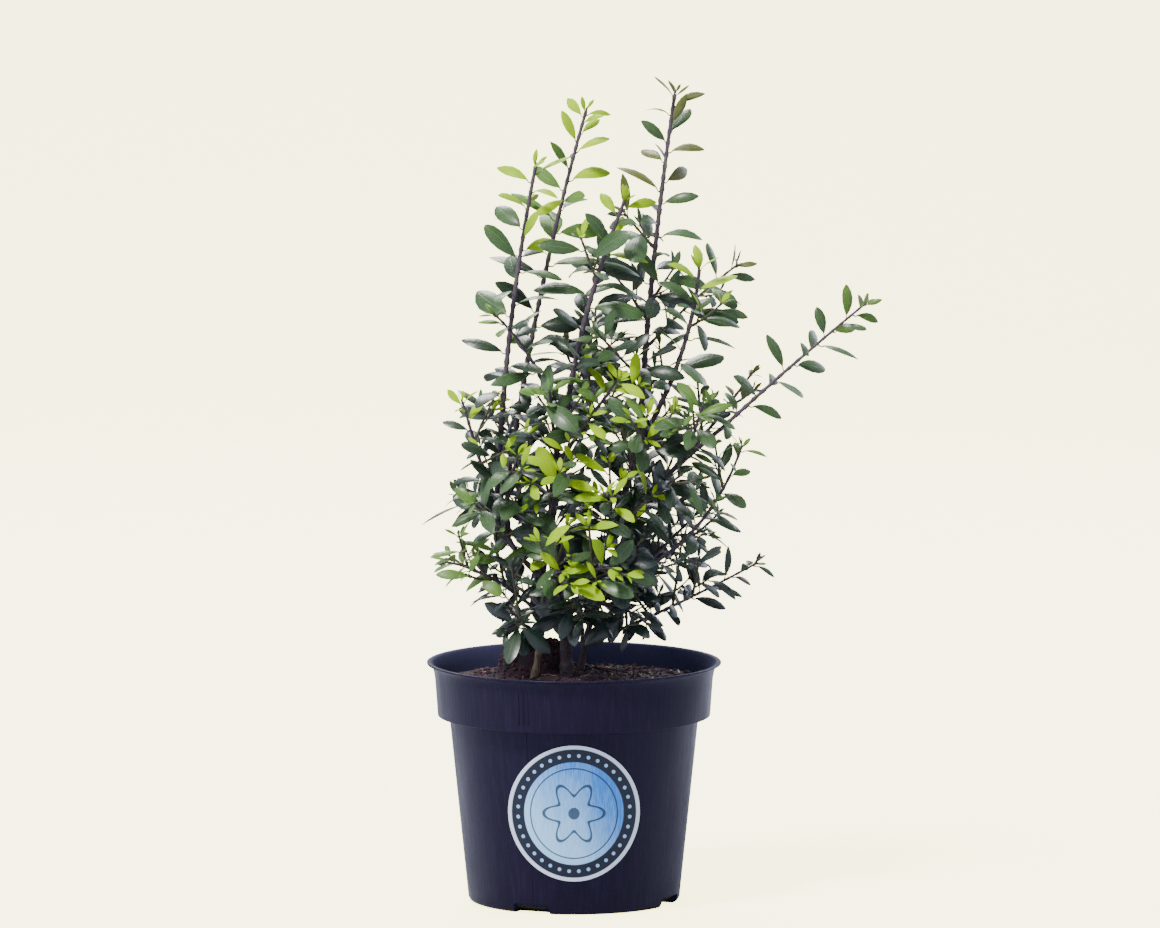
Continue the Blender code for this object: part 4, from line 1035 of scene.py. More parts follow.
# How a mass grows: its leading twig's radius at its foot and tip, its longest leaf, the space
# between its leaves, the reach of its longest side twig, its light, and the width of a blade
# of length 1
HABITS = {
    "spire": Habit(1.5, 0.9, 30.5, 7.8, 26, OPEN_LIGHT, 0.34),
    "arm": Habit(1.3, 0.7, 26.5, 7.4, 25, OPEN_LIGHT, 0.35),
    "spray": Habit(1.1, 0.6, 28, 8.0, 26, SIDE_LIGHT, 0.37),
    "shade": Habit(1.1, 0.6, 28, 7.8, 24, LOW_LIGHT, 0.38),
}

# A mass starts like a bough. Bare is the leafless share of its leading twig, and sides is
# the number of side twigs.
MASSES = {
    "spire_left": Mass("bough_left_front", 1, (-22, -14, 428), (-3, -2, 0), "spire", 0.08, 0),
    "spire_left_tall": Mass("bough_left_back", 1, (7, 14, 457), (-3, 0, 0), "spire", 0.08, 0),
    "spire_middle": Mass("bough_middle", 1, (29, -16, 408), (-4, 0, 0), "spire", 0.0, 2),
    "spire_right": Mass("bough_right_upright", 1, (58, 10, 467), (-2, 0, 0), "spire", 0.1, 5),
    "spire_fork": Mass("bough_right_upright", 0.7, (72, -14, 368), (6, 0, 0), "spire", 0.1, 2),
    "spray_upper_left": Mass("bough_middle", 0.88, (-45, -26, 343), (4, 0, 4), "arm", 0.15, 0),
    "arm_right": Mass("bough_right_arm", 1, (167, -14, 348), (0, 0, 1), "arm", 0.0, 0),
    "spray_right_upper": Mass("bough_right_arm", 0.35, (102, 6, 305), (0, 4, -3), "arm", 0.3, 2),
    "spray_right_rising": Mass("bough_right_low", 1, (96, -26, 266), (5, 0, -6), "arm", 0.1, 3),
    "arm_right_low": Mass("stem_right", 0.45, (104, -12, 197), (0, -4, -1), "arm", 0.25, 3),
    "spire_left_low": Mass("bough_left_front", 0.1, (-64, -28, 293), (0, 0, 0), "arm", 0.1, 2),
    "arm_left_low": Mass("stem_left", 0.66, (-72, -26, 200), (0, -2, 5), "spray", 0.3, 4),
    "spray_left": Mass("bough_left", 0.6, (-56, -42, 238), (0, 0, 2), "spray", 0.2, 2),
    "spray_left_heart": Mass("bough_left_front", 0.3, (-32, -46, 264), (0, -3, 0), "spray", 0.2, 2),
    "spray_front": Mass("stem_left", 0.85, (-6, -62, 199), (0, -2, 5), "spray", 0.35, 3),
    "spray_front_right": Mass("stem_middle", 0.85, (21, -60, 201), (0, -2, 5), "spray", 0.4, 3),
    "spray_low_left": Mass("stem_left", 0.4, (-38, -42, 164), (0, 0, 5), "shade", 0.45, 2),
    "spray_low_front": Mass("stem_middle", 0.5, (4, -45, 170), (0, 0, 6), "shade", 0.45, 1),
    "spray_low_right": Mass("stem_middle", 0.66, (42, -30, 165), (0, 0, 8), "shade", 0.4, 2),
    "spray_middle": Mass("bough_middle", 0.7, (24, -30, 305), (0, -2, 0), "spray", 0.25, 3),
    "spray_middle_left": Mass("bough_middle", 0.76, (-14, -38, 300), (0, -3, 0), "spray", 0.2, 2),
    "spray_heart": Mass("bough_middle", 0.42, (-8, -46, 254), (0, -4, 0), "spray", 0.25, 2),
    "spray_heart_right": Mass("bough_right", 0.7, (22, -46, 240), (0, -4, 0), "spray", 0.2, 3),
    "spray_right_front": Mass("bough_right_upright", 0.4, (42, -38, 286), (0, -4, 0), "spray", 0.15, 3),
    "spray_right_outer": Mass("bough_right_arm", 0.62, (74, -34, 292), (0, -3, 0), "spray", 0.2, 1),
    "spray_right_middle": Mass("bough_right_arm", 0.2, (62, -34, 252), (0, -4, 0), "shade", 0.2, 2),
    "spray_right_inner": Mass("bough_right_low", 0.75, (68, 6, 221), (0, 4, 0), "spray", 0.2, 2),
    "spray_right_low": Mass("bough_right", 0.35, (32, -46, 194), (0, -3, 3), "shade", 0.25, 2),
    "spray_back_left_low": Mass("stem_middle", 0.4, (-46, 44, 182), (0, 0, 6), "shade", 0.3, 2),
    "spray_back_left": Mass("bough_back_left", 0.6, (-64, 46, 232), (0, 0, 3), "shade", 0.15, 2),
    "spray_back_left_top": Mass("bough_back_left", 1, (-42, 46, 286), (2, 0, 0), "spray", 0.05, 3),
    "spray_back": Mass("bough_back_left", 0.45, (-6, 70, 238), (0, 0, 3), "shade", 0.2, 3),
    "spray_back_low": Mass("stem_right", 0.3, (2, 64, 178), (0, 0, 6), "shade", 0.3, 1),
    "spray_back_right_low": Mass("bough_back_right", 0.4, (52, 62, 188), (0, 0, 3), "shade", 0.2, 2),
    "spray_back_right": Mass("bough_back_right", 0.7, (72, 44, 234), (0, 0, 3), "shade", 0.15, 2),
    "spray_back_right_top": Mass("bough_back_right", 1, (40, 52, 284), (2, 0, 0), "spray", 0.05, 3),
    "spray_back_top": Mass("bough_back_middle", 1, (12, 40, 332), (-2, 0, 0), "spray", 0.0, 3),
}

# Side twigs with a place of their own: share of the leading twig, tip and bow
NAMED_SIDES = {
    "spire_right": (
        (0.13, (15, -24, 331), (0, -3, 0)),
        (0.23, (93, 20, 366), (0, 3, 2)),
        (0.31, (15, 18, 370), (0, 3, 2)),
        (0.37, (56, -6, 366), (0, -2, 0)),
        (0.53, (30, -2, 398), (0, 0, 0)),
    ),
    "spire_left_low": (
        (0.4, (-40, -40, 266), (0, -1, 0)),
        (0.62, (-47, -14, 292), (0, 1, 0)),
    ),
    "arm_right_low": (
        (0.36, (32, -28, 184), (0, 0, 1)),
        (0.5, (62, 10, 206), (0, 0, -1)),
        (0.62, (72, -26, 202), (0, 0, -1)),
    ),
}


# %% Shoots
def is_low(place):
    """Tell whether a place is too near the pot's rim or the soil for twigs and leaves."""
    return place.z < max(LOWEST_LEAF, soil_height(place.x, place.y) + SOIL_CLEARANCE)


class Shoot:
    """A bowed line from a foot to a tip, with a radius at each end, in millimetres."""

    def __init__(self, foot, tip, bow, foot_radius, tip_radius):
        self.foot = Vector(foot)
        self.tip = Vector(tip)
        self.bow = Vector(bow)
        self.foot_radius = foot_radius
        self.tip_radius = tip_radius
        self.length = (self.tip - self.foot).length
        self.steps = max(2, math.ceil(math.sqrt(self.bow.length / TWIG_BEND)))
        self.joints = [self.bowed(step / self.steps) for step in range(self.steps + 1)]

    def bowed(self, share):
        """Give the point of the smooth bow at a share of the length."""
        return self.foot.lerp(self.tip, share) + self.bow * (4 * share * (1 - share))

    def place(self, share):
        """Give the point at a share of the length, on the straight steps between the joints."""
        step = min(int(share * self.steps), self.steps - 1)
        return self.joints[step].lerp(self.joints[step + 1], share * self.steps - step)

    def heading(self, share):
        """Give the direction of growth at a share of the length."""
        return (self.tip - self.foot + self.bow * (4 - 8 * share)).normalized()

    def radius(self, share):
        """Give the radius at a share of the length."""
        return self.foot_radius + (self.tip_radius - self.foot_radius) * share


def across_directions(heading):
    """Give two directions square to a heading."""
    side = heading.cross(Vector((0, 1, 0)))
    if side.length < 0.3:
        side = heading.cross(Vector((1, 0, 0)))
    side.normalize()
    return side, side.cross(heading).normalized()


def shoot_from(carrier, share, tip, bow, foot_radius, tip_radius):
    """Start a shoot on a carrier: clear of its side, or just past its tip."""
    tip = Vector(tip)
    bow = Vector(bow)
    start = carrier.place(share)
    along = carrier.heading(share)
    heading = (tip - start + bow * 4).normalized()
    slant = heading.dot(along)
    if share >= 1:
        clear = GAP + foot_radius * math.sqrt(max(1 - slant * slant, 0))
        return Shoot(start + along * clear, tip, bow, foot_radius, tip_radius)
    square = math.sqrt(max(1 - slant * slant, 0.05))
    clear = (SIDE_GAP + carrier.radius(share) + foot_radius * abs(slant) * FOOT_FACET) / square
    return Shoot(start + heading * clear, tip, bow, foot_radius, tip_radius)


def tube_cage(shoot, swell):
    """Give the corners and faces of a square tube round a shoot, for clearance tests."""
    corners = []
    for step in range(shoot.steps + 1):
        share = step / shoot.steps
        heading = shoot.heading(share)
        side, front = across_directions(heading)
        reach = shoot.radius(share) + swell
        middle = shoot.place(share)
        if step == 0:
            middle = middle - heading * swell
        if step == shoot.steps:
            middle = middle + heading * swell
        for way in (side, front, -side, -front):
            corners.append(middle + way * reach * math.sqrt(2) * 0.9)
    faces = [(0, 1, 2, 3)]
    for step in range(shoot.steps):
        for corner in range(4):
            low = 4 * step + corner
            low_next = 4 * step + (corner + 1) % 4
            faces.append((low, low_next, low_next + 4, low + 4))
    last = 4 * shoot.steps
    faces.append((last, last + 1, last + 2, last + 3))
    return corners, faces


class Space:
    """What already grows: it tells whether a new twig or leaf is clear of the rest."""

    def __init__(self):
        self.twigs = []
        self.leaves = {}

    def add_twig(self, shoot):
        """Keep a twig or limb."""
        corners, faces = tube_cage(shoot, 0)
        middle = shoot.place(0.5)
        reach = shoot.length / 2 + shoot.foot_radius
        self.twigs.append((shoot, middle, reach, BVHTree.FromPolygons(corners, faces)))

    def twig_is_clear(self, shoot, carrier, swell=CLEARANCE):
        """Test a new twig against every twig but the one that carries it."""
        corners, faces = tube_cage(shoot, swell)
        cage = BVHTree.FromPolygons(corners, faces)
        middle = shoot.place(0.5)
        reach = shoot.length / 2 + swell
        for other, other_middle, other_reach, other_cage in self.twigs:
            if other is carrier or (other_middle - middle).length > reach + other_reach:
                continue
            if cage.overlap(other_cage):
                return False
        return True


# %% Limbs, leading twigs and side twigs
def grow_limbs():
    """Grow the stems from the soil and the boughs from the stems."""
    grown = {}
    for name, stem in STEMS.items():
        x, y = stem.foot
        foot = (x, y, soil_height(x, y) - STEM_SEAT)
        grown[name] = Shoot(foot, stem.tip, stem.bow, stem.foot_radius, stem.tip_radius)
    for name, bough in BOUGHS.items():
        grown[name] = shoot_from(grown[bough.carrier], bough.share, bough.tip, bough.bow,
                                 bough.foot_radius, bough.tip_radius)
    return grown


def grow_leaders(limbs):
    """Grow the leading twig of every mass."""
    grown = {}
    for name, mass in MASSES.items():
        grown[name] = shoot_from(limbs[mass.carrier], mass.share, mass.tip, mass.bow,
                                 HABITS[mass.habit].radius, HABITS[mass.habit].tip)
    return grown


def side_twig(leader, share, tip, bow):
    """Start a side twig inside its leading twig."""
    return Shoot(leader.place(share), tip, bow, SIDE_TWIG_RADIUS, TWIG_TIP_RADIUS)


def grow_side_twigs(name, leader, space):
    """Grow the side twigs of a mass: the named ones, or seeded ones in turn round the leader."""
    mass = MASSES[name]
    habit = HABITS[mass.habit]
    draws = random.Random(f"{name} side twigs")
    twigs = []
    for share, tip, bow in NAMED_SIDES.get(name, ()):
        twigs.append(side_twig(leader, share, tip, bow))
        space.add_twig(twigs[-1])
    turn = draws.uniform(0, 360)
    for index in range(mass.sides - len(twigs)):
        spread = (index + 0.5) / mass.sides
        share = mass.bare + (0.85 - mass.bare) * spread
        turn += GOLDEN_ANGLE
        for extra in (0, 40, -40, 80, -80):
            heading = leader.heading(share)
            side, front = across_directions(heading)
            angle = math.radians(turn + extra + draws.uniform(-10, 10))
            out = side * math.cos(angle) + front * math.sin(angle)
            slant = math.radians(SIDE_TWIG_ANGLE + draws.uniform(-8, 8))
            way = heading * math.cos(slant) + out * math.sin(slant)
            reach = habit.reach * (1.1 - 0.45 * spread) * draws.uniform(0.85, 1.1)
            lift = Vector((0, 0, SIDE_TWIG_LIFT * reach))
            start = leader.place(share)
            twig = side_twig(leader, share, start + way * reach + lift, (0, 0, -0.05 * reach))
            low = is_low(twig.tip) or is_low(twig.place(0.5))
            if not low and space.twig_is_clear(twig, leader):
                twigs.append(twig)
                space.add_twig(twig)
                break
    return twigs


space = Space()
limbs = grow_limbs()
for limb in limbs.values():
    space.add_twig(limb)
leaders = grow_leaders(limbs)
for leader in leaders.values():
    space.add_twig(leader)
side_twigs = {name: grow_side_twigs(name, leader, space) for name, leader in leaders.items()}
print(len(limbs), "limbs,", len(leaders), "leading twigs,", sum(map(len, side_twigs.values())), "side twigs")

# %% [markdown]
# ## Short shoots
# Between the side twigs a holly fills its crown with short shoots from old leaf axils. They
# follow the side twigs' rule at a smaller size, and one that would touch another twig is
# left out.

# %% Short shoots
SHORT_SHOOT_SPACING = 22.0
SHORT_SHOOT_REACH = 13.0
BOUGH_SHOOT_REACH = 24.0
SHORT_SHOOT_RADIUS = 0.6
SHORT_SHOOT_TIP_RADIUS = 0.4
SHORT_SHOOT_CLEARANCE = 0.2


def grow_short_shoots(name, carrier, bare, longest=SHORT_SHOOT_REACH):
    """Grow short shoots along a twig or bough."""
    draws = random.Random(f"{name} short shoots {carrier.length:.1f}")
    grown = []
    turn = draws.uniform(0, 360)
    travelled = max(bare * carrier.length, 6)
    while travelled < carrier.length * 0.86:
        share = travelled / carrier.length
        travelled += SHORT_SHOOT_SPACING * draws.uniform(0.8, 1.2)
        turn += GOLDEN_ANGLE + draws.uniform(-20, 20)
        heading = carrier.heading(share)
        side, front = across_directions(heading)
        angle = math.radians(turn)
        slant = math.radians(draws.uniform(38, 58))
        out = side * math.cos(angle) + front * math.sin(angle)
        way = heading * math.cos(slant) + out * math.sin(slant)
        reach = longest * draws.uniform(0.6, 1.15) * (1.15 - 0.5 * share)
        start = carrier.place(share)
        tip = start + way * reach + Vector((0, 0, 0.2 * reach))
        shoot = Shoot(start, tip, (0, 0, -0.04 * reach), SHORT_SHOOT_RADIUS, SHORT_SHOOT_TIP_RADIUS)
        if not is_low(tip) and space.twig_is_clear(shoot, carrier, SHORT_SHOOT_CLEARANCE):
            grown.append(shoot)
            space.add_twig(shoot)
    return grown


SPRIGGY_HABITS = ("spray", "shade")
short_shoots = {}
for name, leader in leaders.items():
    short_shoots[name] = []
    if MASSES[name].habit in SPRIGGY_HABITS:
        short_shoots[name].extend(grow_short_shoots(name, leader, MASSES[name].bare))
    for twig in side_twigs[name]:
        if twig.length > SHORT_SHOOT_SPACING:
            short_shoots[name].extend(grow_short_shoots(name, twig, 0.25))
for name in BOUGHS:
    short_shoots[name] = grow_short_shoots(name, limbs[name], 0.1, BOUGH_SHOOT_REACH)
print(sum(map(len, short_shoots.values())), "short shoots")

# %% [markdown]
# ## Stems and twigs
# A stem is a curve with a round bevel, one curve with many strands, because Blender then makes
# every tube at once and each point has its own thickness: a flare at the soil, a swollen ring
# at each old leaf, and a taper to the tip. Turned into a mesh, the stems get a Displace
# modifier for the bark's real lumps. A strand starts on its carrier's middle line, so that the
# fork is closed.

# %% Stems and boughs
LIMB_POINT_SPACING = 1.3
KNOT_SPACING = 9.0
KNOT_SWELL = 0.16
LUMP_SIZE = 3.0
LUMP_DEPTH = 0.5


def knot(travelled, spacing):
    """Give the swelling of a stem near its old leaf scars, from 0 to 1."""
    off = abs(travelled / spacing - round(travelled / spacing)) * spacing
    return math.exp(-(off / 1.1) ** 2)


def strand(curve, places, radii):
    """Add one strand to a curve."""
    spline = curve.splines.new("POLY")
    spline.points.add(len(places) - 1)
    for point, place, radius in zip(spline.points, places, radii):
        point.co = (*(Vector(place) * MM), 1)
        point.radius = radius


def shoot_strand(curve, shoot, root, spacing, swell, knots, flare=0.0, girth=1.0):
    """Follow a shoot from the middle of its carrier to its tip, knot by knot."""
    count = max(3, round(shoot.length / spacing))
    shares = [step / count for step in range(count + 1)]
    places = [shoot.bowed(share) for share in shares]
    radii = []
    for share in shares:
        radius = girth * shoot.radius(share) * (1 + swell * knot(share * shoot.length + knots / 3, knots))
        radius += flare * max(0, 1 - share * shoot.length / FLARE_RISE) ** 2
        radii.append(radius)
    if root is not None and (root - places[0]).length > 0.1:
        places.insert(0, root)
        radii.insert(0, radii[0] * 1.1)
    strand(curve, places, radii)


def new_tubes(name, resolution):
    """Start a curve whose strands become round tubes."""
    curve = bpy.data.curves.new(name, "CURVE")
    curve.dimensions = "3D"
    curve.bevel_depth = MM
    curve.bevel_resolution = resolution
    curve.use_fill_caps = True
    tubes = bpy.data.objects.new(name, curve)
    bpy.context.scene.collection.objects.link(tubes)
    return tubes


def close_tubes(tubes):
    """Turn the strands into one closed mesh with its faces outwards."""
    work_on(tubes)
    bpy.ops.object.convert(target="MESH")
    edit(tubes)
    bpy.ops.mesh.remove_doubles(threshold=WELD)
    bpy.ops.mesh.normals_make_consistent(inside=False)
    bpy.ops.object.mode_set(mode="OBJECT")
    return tubes


bark_lumps = bpy.data.textures.new("bark_lumps", "CLOUDS")
bark_lumps.noise_scale = LUMP_SIZE * MM
bark_lumps.noise_depth = 2


def make_limbs(name, names, material):
    """Make some stems and boughs as one piece with bark relief."""
    tubes = new_tubes(name, 3)
    for limb_name in names:
        limb = limbs[limb_name]
        root = None
        flare = FLARE_WIDTH if limb_name in STEMS else 0.0
        if limb_name in BOUGHS:
            bough = BOUGHS[limb_name]
            root = limbs[bough.carrier].place(bough.share)
        shoot_strand(tubes.data, limb, root, LIMB_POINT_SPACING, KNOT_SWELL, KNOT_SPACING, flare)
    close_tubes(tubes)
    relief = tubes.modifiers.new("bark_relief", "DISPLACE")
    relief.texture = bark_lumps
    relief.texture_coords = "LOCAL"
    relief.strength = LUMP_DEPTH * MM
    relief.mid_level = 0.5
    apply_modifiers(tubes)
    shade(tubes, 60)
    dress(tubes, material, names)


make_limbs("tan_stem", ["stem_left"], tan_bark)
# The stems and boughs under the crown take the darker bark, partly painted shade
make_limbs("dark_stems", ["stem_middle", "stem_right"], old_bark)
make_limbs("boughs", list(BOUGHS), old_bark)

# %% Twigs
TWIG_POINT_SPACING = 2.2
TWIG_KNOT_SWELL = 0.36
TWIG_GIRTH = {"spire": 1.1, "arm": 0.95, "spray": 1.1, "shade": 1.1}
TWIG_KNOT_SPACING = 6.6

leading = new_tubes("leading_twigs", 1)
for name, leader in leaders.items():
    mass = MASSES[name]
    root = limbs[mass.carrier].place(mass.share)
    shoot_strand(leading.data, leader, root, TWIG_POINT_SPACING, TWIG_KNOT_SWELL, TWIG_KNOT_SPACING,
                 girth=TWIG_GIRTH[mass.habit])
close_tubes(leading)
shade(leading, 60)
dress(leading, purple_bark, list(MASSES))

young = new_tubes("young_twigs", 1)
for name in short_shoots:
    for twig in side_twigs.get(name, []) + short_shoots[name]:
        shoot_strand(young.data, twig, None, TWIG_POINT_SPACING, TWIG_KNOT_SWELL, TWIG_KNOT_SPACING)
close_tubes(young)
shade(young, 60)
dress(young, young_bark, list(MASSES))

# %% [markdown]
# ## Model a leaf
# One holly leaf starts as a small grid. The grid's own map is kept for the veins, and then its
# rows are drawn in to the blade's outline, widest near the middle with a blunt point. A copy
# turned over and pushed down makes the underside, and the two sheets are welded at the rim,
# so the leaf is a closed lens with a gutter at its midrib.

# %% Leaf model
LEAF_ROWS = 7
LEAF_COLUMNS = 4
BLADE_THICKNESS = 0.014
BLADE_CROWN = 0.035
MIDRIB_GUTTER = 0.02


def half_width(share, wedge, blunt):
    """Half width of the blade at a share of its length, with 1 at the widest place."""
    widest = wedge / (wedge + blunt)
    highest = widest ** wedge * (1 - widest) ** blunt
    return share ** wedge * (1 - share) ** blunt / highest


def model_leaf(name, wedge, blunt):
    """Model a leaf of length 1 and width 1 that grows along Y and faces up."""
    deselect()
    bpy.ops.mesh.primitive_grid_add(x_subdivisions=LEAF_COLUMNS, y_subdivisions=LEAF_ROWS, size=1)
    leaf = bpy.context.object
    leaf.name = name
    for corner in leaf.data.uv_layers.active.data:
        corner.uv.y = (1 - math.cos(math.pi * corner.uv.y)) / 2
    for vertex in leaf.data.vertices:
        across = vertex.co.x * 2
        share = (1 - math.cos(math.pi * (vertex.co.y + 0.5))) / 2
        share = min(max(share, 0), 1)
        wide = half_width(share, wedge, blunt)
        crown = BLADE_CROWN * (1 - across * across) * wide
        gutter = MIDRIB_GUTTER * max(0, 1 - abs(across) * 2) * math.sin(math.pi * share)
        vertex.co = (across / 2 * wide, share, crown - gutter)
    edit(leaf)
    bpy.ops.mesh.duplicate()
    bpy.ops.mesh.flip_normals()
    sheets = bmesh.from_edit_mesh(leaf.data)
    leaf_map = sheets.loops.layers.uv.active
    for face in sheets.faces:
        if face.select:
            for corner in face.loops:
                corner[leaf_map].uv.x += 1
    for vertex in sheets.verts:
        share = vertex.co.y
        wide = half_width(min(max(share, 0), 1), wedge, blunt)
        if vertex.select and wide > 0.01 and abs(vertex.co.x) * 2 < wide * 0.99:
            vertex.co.z -= BLADE_THICKNESS
    bmesh.update_edit_mesh(leaf.data)
    bpy.ops.mesh.select_all(action="SELECT")
    bpy.ops.mesh.remove_doubles(threshold=0.0001)
    bpy.ops.object.mode_set(mode="OBJECT")
    return leaf


leaf_models = {}
LEAF_SHAPES = {"blade_long": (0.95, 0.76), "blade_round": (0.84, 0.66), "blade_narrow": (1.1, 0.92)}
for name, (wedge, blunt) in LEAF_SHAPES.items():
    model = model_leaf(name, wedge, blunt)
    print(f"{name}: {len(model.data.polygons)} faces")
    leaf_models[name] = mesh_lists(model)
    bpy.data.objects.remove(model)

# %% [markdown]
# ## Set the leaves
# Holly leaves stand one by one in a spiral, about 137 degrees apart. Old ones lean far out and
# young ones point along the shoot, and each turns its face to the light, which reaches the
# plant from the front and from above. The rule keeps that order and lets every leaf vary in
# length, arch, fold and twist. A leaf that would touch a limb or another leaf is turned,
# shortened or left out.

# %% Leaf rule
LeafPlace = namedtuple("LeafPlace", "root along up length width arch fold twist sway model tone")

LEAF_LEAN_OLD = 70.0
LEAF_LEAN_YOUNG = 50.0
LEAF_ROLL = 34.0
CROWN_MIDDLE = (8.0, 40.0)
STALK_SHARE = 0.11
ROUND_BLADE = 1.22
NARROW_BLADE = 0.85
SMALLEST_LEAF = 7.0
CAGE_SHARE = 0.88
LEAF_CLEARANCE = 0.25
CELL = 32.0

# Tip, body and foot tones of each spray; the low and inner sprays get dark and teal, partly painted shade
SPRAY_TONES = {
    "spire_left": ("lime", "mid", "dark"),
    "spire_left_tall": ("lime", "bright", "dark"),
    "spire_middle": ("lime", "mid", "dark"),
    "spire_right": ("olive", "mid", "dark"),
    "spire_fork": ("lime", "mid", "dark"),
    "spray_upper_left": ("bright", "mid", "dark"),
    "arm_right": ("bright", "mid", "mid"),
    "spray_right_upper": ("olive", "mid", "dark"),
    "spray_right_rising": ("bright", "mid", "dark"),
    "arm_right_low": ("dark", "teal", "teal"),
    "spire_left_low": ("lime", "dark", "dark"),
    "arm_left_low": ("bright", "bright", "dark"),
    "spray_left": ("bright", "mid", "dark"),
    "spray_left_heart": ("lime", "mid", "dark"),
    "spray_front": ("lime", "mid", "teal"),
    "spray_front_right": ("lime", "mid", "teal"),
    "spray_low_left": ("dark", "teal", "teal"),
    "spray_low_front": ("dark", "teal", "teal"),
    "spray_low_right": ("teal", "teal", "teal"),
    "spray_middle": ("lime", "bright", "mid"),
    "spray_middle_left": ("bright", "mid", "dark"),
    "spray_heart": ("lime", "mid", "dark"),
    "spray_heart_right": ("lime", "dark", "dark"),
    "spray_right_front": ("lime", "mid", "dark"),
    "spray_right_outer": ("bright", "mid", "dark"),
    "spray_right_middle": ("mid", "dark", "teal"),
    "spray_right_inner": ("mid", "dark", "teal"),
    "spray_right_low": ("dark", "teal", "teal"),
}
# The back sprays and the boughs' short shoots get the darker tones, partly painted shade
BACK_TONES = ("mid", "dark", "teal")
LEAF_SCALES = {"spray_right_upper": 0.66, "spire_left_low": 0.86, "arm_left_low": 0.84, "spray_left": 0.88,
               "arm_right_low": 0.86, "spray_right_rising": 0.88, "arm_right": 0.95}


def leaf_body(leaf, points):
    """Bend a leaf model's points to one leaf's arch, fold and twist, and put them in place."""
    across = points[:, 0] * leaf.width
    along = points[:, 1]
    rise = points[:, 2] * leaf.length + leaf.fold * np.abs(across)
    turn = leaf.twist * along
    side_way = across * np.cos(turn) - rise * np.sin(turn) + leaf.sway * leaf.length * along ** 2
    up_way = across * np.sin(turn) + rise * np.cos(turn) - leaf.arch * leaf.length * along ** 2
    forward = leaf.length * along * (1 - 0.35 * abs(leaf.arch) * along)
    side = leaf.along.cross(leaf.up)
    return (np.array(leaf.root) + np.outer(forward, np.array(leaf.along))
            + np.outer(side_way, np.array(side)) + np.outer(up_way, np.array(leaf.up)))


def leaf_cage(leaf, swell):
    """Give a thin hexagonal cage round a leaf, for clearance tests."""
    half = CAGE_SHARE * leaf.width / 2 + swell
    corners = []
    side = leaf.along.cross(leaf.up)
    for share, way in ((0.12, 0), (0.36, 1), (0.76, 0.9), (1, 0), (0.76, -0.9), (0.36, -1)):
        drop = leaf.arch * leaf.length * share ** 2
        for rise in (swell + 0.1, -swell - 0.1):
            corners.append(leaf.root + leaf.along * (leaf.length * share)
                           + side * (half * way) + leaf.up * (rise - drop))
    faces = []
    for index in range(6):
        following = (index + 1) % 6
        faces.append((2 * index, 2 * following, 2 * following + 1, 2 * index + 1))
    faces.extend([(0, 2, 4), (0, 4, 6), (0, 6, 8), (0, 8, 10), (1, 5, 3), (1, 7, 5), (1, 9, 7), (1, 11, 9)])
    return corners, faces


def leaf_is_clear(leaf, carrier):
    """Test a new leaf against the twigs and leaves round it."""
    corners, faces = leaf_cage(leaf, LEAF_CLEARANCE)
    if any(is_low(corner) for corner in corners):
        return False
    cage = BVHTree.FromPolygons(corners, faces)
    middle = leaf.root + leaf.along * (leaf.length / 2)
    reach = leaf.length / 2 + LEAF_CLEARANCE
    for other, other_middle, other_reach, other_cage in space.twigs:
        if other is carrier or (other_middle - middle).length > reach + other_reach:
            continue
        if cage.overlap(other_cage):
            return False
    cell = tuple(int(value // CELL) for value in middle)
    for x in (-1, 0, 1):
        for y in (-1, 0, 1):
            for z in (-1, 0, 1):
                key = (cell[0] + x, cell[1] + y, cell[2] + z)
                for other_middle, other_reach, other_cage in space.leaves.get(key, ()):
                    if (other_middle - middle).length > reach + other_reach:
                        continue
                    if cage.overlap(other_cage):
                        return False
    corners, faces = leaf_cage(leaf, 0)
    space.leaves.setdefault(cell, []).append((middle, leaf.length / 2, BVHTree.FromPolygons(corners, faces)))
    return True


# How far the leaves of the freest shoots turn to the light in front
FRONT_LIGHT = {"arm_right": 0.7, "spire_right": 0.4, "spire_left": 0.25, "spire_left_tall": 0.25}


def habit_of(name):
    """Give a mass's habit, and the shade habit to the short shoots of a bough."""
    return HABITS[MASSES[name].habit if name in MASSES else "shade"]


def tone_of(name, root, share, draws):
    """Deal a tone from the spray's own: young at the tips, then the body's, then the foot's, darker for older leaves
    and for painted shade.
    """
    tip, body, foot = SPRAY_TONES.get(name, BACK_TONES)
    reach = 0.2
    if name in leaders:
        leader = leaders[name]
        way = leader.tip - leader.foot
        reach = (root - leader.foot).dot(way) / way.length_squared
    place = 0.5 * share + 0.5 * reach + draws.uniform(-0.13, 0.13)
    if place > 0.8:
        return tip
    return body if place > 0.45 else foot


